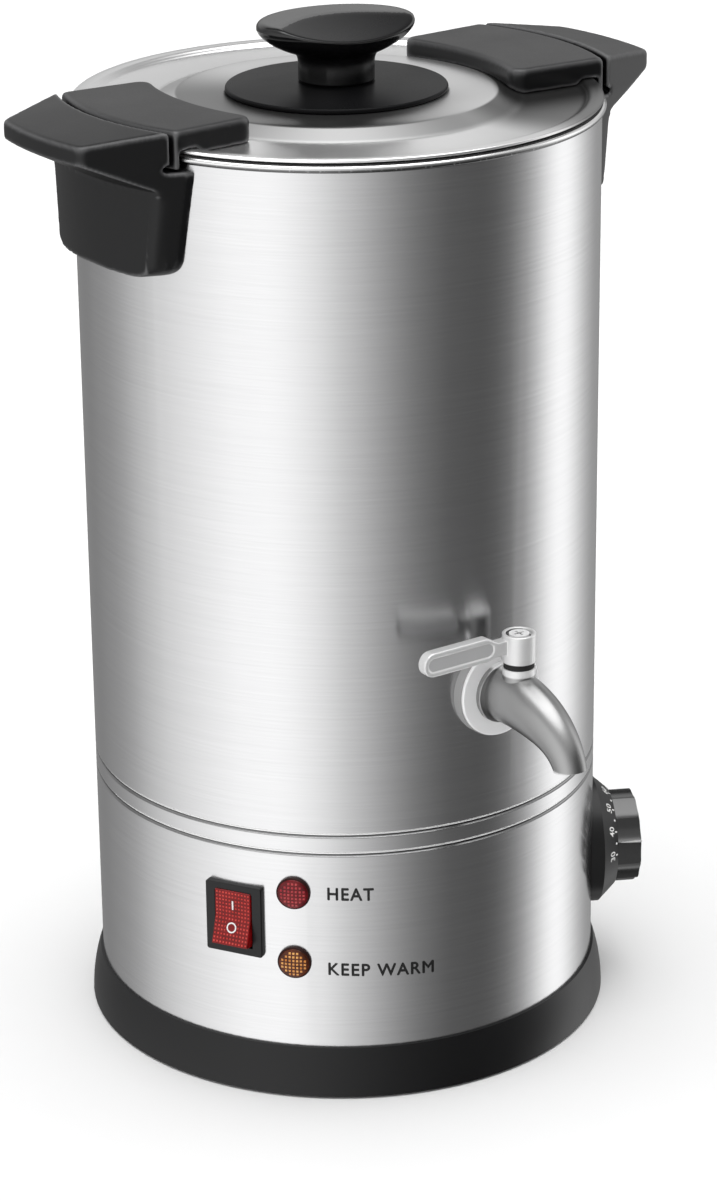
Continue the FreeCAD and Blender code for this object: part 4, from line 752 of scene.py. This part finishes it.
black_ink = stamp_ink("black_print", (0.004, 0.004, 0.004), (0.009, 0.009, 0.009))
label_start = -38.7
letter_height = 0.0056
cut_width = 0.002    # letters are cut this fine to follow the shell
stroke_growth = 0.0002    # each letter is printed four times, this far aside, to make it bold
label_lines = (    # words, width, height of their middle, fall to the right
    ("HEAT", 0.0196, 0.0964, 0.033), ("KEEP WARM", 0.0460, 0.0607, 0.050))
labels = bmesh.new()
for words, width, middle, fall in label_lines:
    word = printed(words, letter_height, width, spacing=1.15)
    for k in range(int(width / cut_width)):
        cut = (k * cut_width - width / 2, 0, 0)
        bmesh.ops.bisect_plane(word, geom=[*word.verts, *word.edges, *word.faces], plane_co=cut,
                               plane_no=(1, 0, 0))

    def on_shell(spot):
        run = spot.x + width / 2
        around = facing(label_start + math.degrees(run / shell_radius), middle - letter_height / 2)
        return around @ Vector((shell_radius + print_lift, 0, spot.y - fall * run))

    for aside in ((stroke_growth, 0), (-stroke_growth, 0), (0, stroke_growth), (0, -stroke_growth)):
        moved = word.copy()
        bmesh.ops.translate(moved, verts=moved.verts, vec=(*aside, 0))
        gather(labels, moved, on_shell)
    word.free()
make_piece("lamp_labels", labels, "vessel", "black_gloss", black_ink)


# ---------------------------------------------------------------- mains inlet
# A three-pin appliance inlet at the back, moulded in black plastic with brass pins.
# It is held by two screws and nuts.

dress(satin_black, "inlet_housing")
dress(brass, "inlet_pins")
dress(zinc_steel, "inlet_screws", "inlet_nuts")


# ---------------------------------------------------------------- wiring
# Silicone-sleeved wires run to the switch and the lamps.
# They start at a cream terminal block on the floor plate.

wire_sleeve = moulded("wire_sleeve", (0.55, 0.53, 0.48), 0.5, 0.0008, 0.00003)
dress(cream_plastic, "terminal_block")
dress(wire_sleeve, "lead_wires")


# ---------------------------------------------------------------- handles
# Two moulded handles: a thick pad screwed to the shell from inside carries a wing that slopes to its tip.
# Their edges are softly rounded and painted paler as a highlight, and a slot between wing and shell takes the
# lid's ear.

# The grey painted along the moulded edges is a painted highlight.
edge_highlight_grey = (0.09, 0.09, 0.092, 1)


def painted_edge_highlights(material, near, far):
    """Paler plastic painted along the outer edges of a moulding, as a highlight."""
    start = Shade(material.node_tree)
    colour = material.node_tree.nodes["Principled BSDF"].inputs["Base Color"].links[0].from_socket
    edge = start.make("NewGeometry", output="Pointiness").step(near, far)
    feed(material, Base_Color=edge.mix(Shade(material.node_tree, colour), edge_highlight_grey))


handle_plastic = moulded("handle_plastic", (0.0035, 0.0035, 0.004), 0.33, 0.0007, 0.00001,
                         Specular_IOR_Level=0.27)
painted_edge_highlights(handle_plastic, 0.505, 0.54)
mould_voxel = 0.0008
handle_ledge = 0.4095
pad_top = 0.3990
pad_edge_reach = 0.03735    # at the pad's top its upright edges lie beyond this from the handle's middle
pad_taper = 0.1
pad_edge_radius = 0.1185
pad_edge_passes = 60
pad_inside = shell_radius + 0.0028
pad_sink = 0.0014    # the pad's inside is let into the shell's curve by this
sink_fade = 0.0024
for side in ("left", "right"):
    handle = softened(side + "_handle", mould_voxel, passes=10)
    upright_edges = [vertex for vertex in handle.verts if vertex.co.z < pad_top
                     and abs(vertex.co.y) > pad_edge_reach - pad_taper * (pad_top - vertex.co.z)
                     and vertex.co.xy.length > pad_edge_radius]
    for step in range(pad_edge_passes):
        bmesh.ops.smooth_vert(handle, verts=upright_edges, factor=0.5, use_axis_x=True, use_axis_y=True)
    for vertex in handle.verts:
        reach = vertex.co.xy.length
        sink = max(0.0, min(1.0, (pad_inside - reach) / sink_fade))
        if vertex.co.z < handle_ledge:
            vertex.co.xy *= (reach - pad_sink * sink) / reach
    moulding = make_piece(side + "_handle_moulding", handle, "vessel", "black_satin", handle_plastic)
    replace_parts(moulding, side + "_handle")
dress(zinc_steel, "handle_screws")


# ---------------------------------------------------------------- lid
# A pressed stainless lid with a stepped crown and a hemmed edge, spun to a satin finish; painted reflections
# lie on it as lighter and darker fans, with painted shade on the step.
# A locating ring and a rubber gasket under it sit in the pot, whose rolled rim shows round the lid.

def eased(points, radius, steps=4):
    """The line again with each corner rounded."""
    line = [points[0]]
    for before, corner, after in zip(points, points[1:], points[2:]):
        corner = Vector(corner)
        back = Vector(before) - corner
        ahead = Vector(after) - corner
        start = corner + back.normalized() * min(radius, back.length / 2)
        end = corner + ahead.normalized() * min(radius, ahead.length / 2)
        for k in range(steps + 1):
            share = k / steps
            line.append(tuple(start * (1 - share) ** 2 + corner * 2 * share * (1 - share) + end * share ** 2))
    return line + [points[-1]]


def lathed(line, sides=288):
    """A closed (radius, height) line turned round the pot's axis."""
    shape = bmesh.new()
    loops = [[shape.verts.new((x, y, height)) for x, y in ring_of_points(radius, sides)]
             for radius, height in line]
    for near, far in zip(loops, loops[1:] + loops[:1]):
        join_loops(shape, near, far, True)
    bmesh.ops.recalc_face_normals(shape, faces=shape.faces)
    return shape


def round_bar(radius, height, thickness, start=0, turn=360, steps=20):
    """Points round a bar's section, from this angle on."""
    return [(radius + thickness * math.cos(math.radians(start + turn * k / steps)),
             height + thickness * math.sin(math.radians(start + turn * k / steps))) for k in range(steps + 1)]


lid_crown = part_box("lid_pan")[1][2]
lid_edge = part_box("lid_pan")[1][0]
lid_step = 0.0022
lid_top = lid_crown - lid_step
lid_flat = lid_top - lid_step
lid_sheet = 0.0008
lid_hem = 0.00072
lid_hole = 0.00275
lid_bend = 0.0016
step_inner = 0.0675
step_outer = 0.0795
recess_foot = 0.10487
recess_edge = 0.10707
sheet_shift = 0.00033    # underside of the recess, further out than its top
top_line = [(lid_hole, lid_crown), (step_inner, lid_crown), (step_outer, lid_flat), (recess_foot, lid_flat),
            (recess_edge, lid_top), (lid_edge - lid_hem, lid_top)]
under_line = [(lid_edge - lid_hem, lid_top - lid_sheet), (recess_edge + sheet_shift, lid_top - lid_sheet),
              (recess_foot + sheet_shift, lid_flat - lid_sheet), (step_outer, lid_flat - lid_sheet),
              (step_inner, lid_crown - lid_sheet), (lid_hole, lid_crown - lid_sheet)]
hem_line = round_bar(lid_edge - lid_hem, lid_top - lid_hem, lid_hem, 80, -250)

spun_steel, start = new_material("spun_lid_steel", Metallic=1.0)
flat_place = start.make("Mapping", {"Vector": start.place(), "Scale": (1, 1, 0)})
from_axis = start.make("VectorMath", {0: flat_place}, output=1, operation="LENGTH")
across_x = flat_place.along(0)
across_y = flat_place.along(1)


def fan(angle, low, high):
    """1 towards this angle round the lid, fading to 0 at its sides; low and high are cosines."""
    turn = math.radians(angle)
    return ((across_x * math.cos(turn) + across_y * math.sin(turn)) / from_axis).step(low, high)


rings_per_metre = 2200.0
ring_place = start.make("CombineXYZ", {0: from_axis * rings_per_metre})
fine_rings = start.make("TexNoise", {"Vector": ring_place, "Detail": 2.0})
# Painted reflections: lighter and darker fans on the crown and the flat, darkest on the flat below the right
# ear as its mirrored image; step_shade is painted shade on the step's slope.
crown_painted_reflection = 0.80 - fan(-160.0, -0.15, 0.70) * 0.58
flat_painted_reflection = 0.84 + fan(-142.0, 0.2, 0.8) * 0.16 - fan(-40.0, 0.80, 0.96) * 0.64
step_shade = 0.68 + from_axis.step(step_outer - 0.0035, step_outer - 0.0005) * 0.32
on_flat = from_axis.step(step_inner + 0.0003, step_inner + 0.0016)
tone = crown_painted_reflection * (1 - on_flat) + flat_painted_reflection * step_shade * on_flat + (fine_rings - 0.5) * 0.05
feed(spun_steel, Base_Color=tone.tint((0, 0, 0), (1, 1, 1)), Roughness=(fine_rings - 0.5) * 0.05 + 0.30)
lid_shape = lathed(eased(top_line, lid_bend)[:-1] + hem_line + eased(under_line, lid_bend)[1:])
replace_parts(make_piece("lid_pressing", lid_shape, "lid", "brushed_steel", spun_steel), "lid_pan")
dress(polished("satin_lid_steel", (0.76, 0.76, 0.765), 0.28, 0.03), "lid_locating_ring")
dress(black_rubber, "lid_gasket")

roll_cover = 0.00152    # a hair more than the pot's own rolled rim, which it covers
roll_thickness = 0.0015
roll_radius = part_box("inner_pot")[1][0] - roll_thickness
roll_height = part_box("inner_pot")[1][2] - roll_thickness


# The roll is painted dark below, as shade, and pale above, as a highlight.
def roll_upper_highlight(x, y, z):
    """1 on the roll's upper side."""
    return z.step(roll_height - 0.0004, roll_height + 0.0006)


rim_steel = painted_light_steel("rolled_rim_steel", roll_upper_highlight, (0.12, 1.0), (0.80, 1.0), 0.18)
rim_shape = lathed(round_bar(roll_radius, roll_height, roll_cover)[:-1])
make_piece("pot_rolled_rim", rim_shape, "vessel", "brushed_steel", rim_steel)


# ---------------------------------------------------------------- lid ears
# Moulded ears of the handles' plastic, screwed to the lid from below.
# Each bridges the rim and drops a leg into a handle's slot.

for side in ("left", "right"):
    ear = softened(side + "_lid_ear", mould_voxel, passes=8)
    moulding = make_piece(side + "_ear_moulding", ear, "lid", "black_satin", handle_plastic)
    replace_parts(moulding, side + "_lid_ear")
dress(zinc_steel, "ear_screws")


# ---------------------------------------------------------------- lid knob
# A gloss black knob: a round stem under an oval head, with a satin thumb scoop that drops to a thin
# front lip.  It stands on a low domed disc, and one screw holds both to the lid.

stem_radius = 0.0163
stem_foot = 0.4235
head_foot = 0.4355
head_height = 0.0149
half_length = 0.0353
half_width = 0.0270
scoop_radius = 0.180
scoop_slope = math.tan(math.radians(9.0))
scoop_depth = 0.0056
lip_blend = 0.0006
knob_turn = Matrix.Rotation(math.radians(-7.0), 3, "Z")
head_profile = (    # share of the overhang, share of the height
    (0.0, -0.30), (0.008, -0.16), (0.035, -0.04), (0.12, 0.06), (0.42, 0.20), (0.74, 0.42),
    (0.94, 0.65), (1.0, 0.80), (0.975, 0.93), (0.88, 0.995), (0.80, 1.0))


def through(points, steps):
    """A smooth line of points through these, as a Catmull-Rom curve."""
    line = []
    padded = [points[0], *points, points[-1]]
    for a, b, c, d in zip(padded, padded[1:], padded[2:], padded[3:]):
        for k in range(steps):
            t = k / steps
            line.append([0.5 * (2 * q + (r - p) * t + (2 * p - 5 * q + 4 * r - s) * t * t
                                + (3 * q - p - 3 * r + s) * t ** 3) for p, q, r, s in zip(a, b, c, d)])
    return line + [list(points[-1])]


def scoop_height(x, y):
    return head_height - scoop_depth + (y + half_width) * scoop_slope + x * x / (2 * scoop_radius)


def knob_side(turn):
    """Points up one side of the head, to where the scoop or the crest starts."""
    side = []
    for share, rise in through(head_profile, 8):
        x = (stem_radius + share * (half_length - stem_radius)) * math.cos(turn)
        y = (stem_radius + share * (half_width - stem_radius)) * math.sin(turn)
        z = rise * head_height
        if side and z > scoop_height(x, y):
            last = side[-1]
            over = z - scoop_height(x, y)
            under = scoop_height(last[0], last[1]) - last[2]
            part = under / (under + over)
            side.append([p + (q - p) * part for p, q in zip(last, (x, y, z))])
            break
        side.append([x, y, z])
    return side


def spread_evenly(line, count):
    """The line again with this many points, evenly apart."""
    run = [0.0]
    for here, there in zip(line, line[1:]):
        run.append(run[-1] + (Vector(there) - Vector(here)).length)
    spread = []
    at = 0
    for k in range(count):
        goal = run[-1] * k / (count - 1)
        while at < len(run) - 2 and run[at + 1] < goal:
            at += 1
        part = (goal - run[at]) / max(run[at + 1] - run[at], 1e-9)
        spread.append([p + (q - p) * part for p, q in zip(line[at], line[at + 1])])
    return spread


def knob_top(x, y):
    """Height of the crest or the scoop here, with a soft lip where they meet."""
    dish = scoop_height(x, y)
    mix = max(0.0, min(1.0, 0.5 + (head_height - dish) / (2 * lip_blend)))
    return head_height * (1 - mix) + dish * mix - lip_blend * mix * (1 - mix)


spokes = 144
stem_points = 10
stem_spacing = 0.0007
stem_gap = 0.0005    # the stem's lowest ring of points stands this far above its foot
stem_start = stem_foot + stem_gap - head_foot
side_points = 40
top_rings = 34
scoop_border = 0.0002
knob_passes = 6
columns = []
for k in range(spokes):
    turn = 2 * math.pi * k / spokes
    stem = [[stem_radius * math.cos(turn), stem_radius * math.sin(turn), stem_start + stem_spacing * j]
            for j in range(stem_points)]
    side = spread_evenly(knob_side(turn), side_points)
    x, y, z = side[-1]
    shares = [1 - j / top_rings for j in range(1, top_rings)]
    columns.append(stem + side + [[x * share, y * share, knob_top(x * share, y * share)] for share in shares])
knob = bmesh.new()
loops = [[knob.verts.new(knob_turn @ Vector(spot) + Vector((0, 0, head_foot))) for spot in ring]
         for ring in zip(*columns)]
for ring, (near, far) in enumerate(zip(loops, loops[1:])):
    for column, face in zip(columns, join_loops(knob, near, far, True)):
        x, y, z = column[ring + 1]
        on_top = ring >= stem_points + side_points - 1
        face.material_index = int(on_top and scoop_height(x, y) < head_height - scoop_border)
middle = knob.verts.new((0, 0, head_foot + scoop_height(0, 0)))
for k in range(spokes):
    face = knob.faces.new((loops[-1][k], loops[-1][(k + 1) % spokes], middle))
    face.smooth = True
    face.material_index = 1
knob.faces.new(loops[0][::-1])
for step in range(knob_passes):
    bmesh.ops.smooth_vert(knob, verts=knob.verts, factor=0.5,
                          use_axis_x=True, use_axis_y=True, use_axis_z=True)
bmesh.ops.recalc_face_normals(knob, faces=knob.faces)
gloss_black = moulded("gloss_black_plastic", (0.003, 0.003, 0.0033), 0.17, 0.0009, 0.000004)
scoop_black = moulded("satin_scoop_plastic", (0.005, 0.005, 0.0055), 0.3, 0.0009, 0.000004, IOR=1.2)
base_black = moulded("low_sheen_plastic", (0.006, 0.006, 0.0065), 0.3, 0.0009, 0.000004, IOR=1.13)
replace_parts(make_piece("knob_moulding", knob, "lid", "black_gloss", gloss_black, scoop_black), "lid_knob")
dress(base_black, "knob_base")
dress(zinc_steel, "knob_washer", "knob_screw")


# ---------------------------------------------------------------- studio
# A pale floor, pale walls and a soft overhead light.  Upright grey panels stand round the pot below
# its top; they are what the brushed shell shows as soft dark and bright bands.

floor_mesh = bpy.data.meshes.new("floor")
floor_half = 6.0
corners = [(-floor_half, -floor_half, 0), (floor_half, -floor_half, 0), (floor_half, floor_half, 0),
           (-floor_half, floor_half, 0)]
floor_mesh.from_pydata(corners, [], [(0, 1, 2, 3)])
floor = bpy.data.objects.new("floor", floor_mesh)
bpy.context.scene.collection.objects.link(floor)
pale, start = new_material("pale_floor")
drift = start.noise(3.0, 3.0)
feed(pale, Base_Color=drift.tint((0.80, 0.80, 0.80), (0.83, 0.83, 0.83)), Roughness=drift * 0.1 + 0.85)
floor_mesh.materials.append(pale)
floor.visible_glossy = False


def grey(value):
    return (value, value, value, 1)


view_turn = math.radians(-34.6)
world = bpy.data.worlds.new("studio")
bpy.context.scene.world = world
world.use_nodes = True
light = Shade(world.node_tree)
ray = light.make("TexCoord", output="Generated")
height = ray.along(2)
ahead = ray.along(0) * math.sin(view_turn) - ray.along(1) * math.cos(view_turn)
across = ray.along(0) * math.cos(view_turn) + ray.along(1) * math.sin(view_turn)
azimuth = across.maths("ARCTAN2", ahead) * (0.5 / math.pi) + 0.5
panels = (    # degrees round from the camera, brightness
    (-180, .16), (-148, .17), (-124, .245), (-112, .32), (-96, .50), (-80, .66), (-64, .79), (-48, .91),
    (-32, .94), (-24, .90), (-16, .81), (-8, .70), (0, .56), (8, .45), (16, .335), (24, .24), (32, .165),
    (40, .12), (48, .085), (64, .07), (72, .085), (80, .14), (88, .26), (96, .48), (103, .74), (111, .94),
    (119, .92), (127, .70), (135, .48), (143, .34), (151, .25), (180, .16))
stops = [((angle + 180) / 360, grey(value)) for angle, value in panels]
bands = light.make("ValToRGB", {0: azimuth}, stops=stops)
low_part = light.make("Mix", {0: 1.0, 6: bands, 7: grey(1.6)}, output=2, data_type="RGBA",
                      blend_type="MULTIPLY")
behind = 1 - ahead.step(-0.75, -0.35)
above = height.step(0.80, 0.90)
dim = behind * height.step(0.50, 0.58)
upper = (dim * (1 - above)).mix(above.mix(grey(0.72), grey(3.4)), grey(0.11))
studio = height.step(0.06, 0.24) * behind + height.step(0.45, 0.60) * (1 - behind)
glow = studio.mix(low_part, upper)
backdrop = light.make("LightPath", output="Is Camera Ray").mix(glow, grey(0.9))
world.node_tree.links.new(backdrop.socket, world.node_tree.nodes["Background"].inputs["Color"])
bpy.context.scene.view_settings.view_transform = "Standard"


# ---------------------------------------------------------------- camera
# A long lens in front and to the left of the tap, higher than the lid.
# It looks down by about 21 degrees, and isn't shifted.

camera_distance = 1.52299
camera_height = 0.77777
camera_data = bpy.data.cameras.new("camera")
camera = bpy.data.objects.new("camera", camera_data)
bpy.context.scene.collection.objects.link(camera)
bpy.context.scene.camera = camera
camera_data.sensor_fit = "VERTICAL"
camera_data.sensor_height = 36.0
camera_data.lens = 109.73
turn = Matrix.Rotation(view_turn, 3, "Z")
forward = turn @ Vector((0.004264, 0.932370, -0.361480))
up = turn @ Vector((0.012254, 0.361407, 0.932328))
right = forward.cross(up)
place = turn @ Vector((0, -camera_distance, 0)) + Vector((0, 0, camera_height))
camera.matrix_world = Matrix((
    (right.x, up.x, -forward.x, place.x),
    (right.y, up.y, -forward.y, place.y),
    (right.z, up.z, -forward.z, place.z),
    (0, 0, 0, 1)))
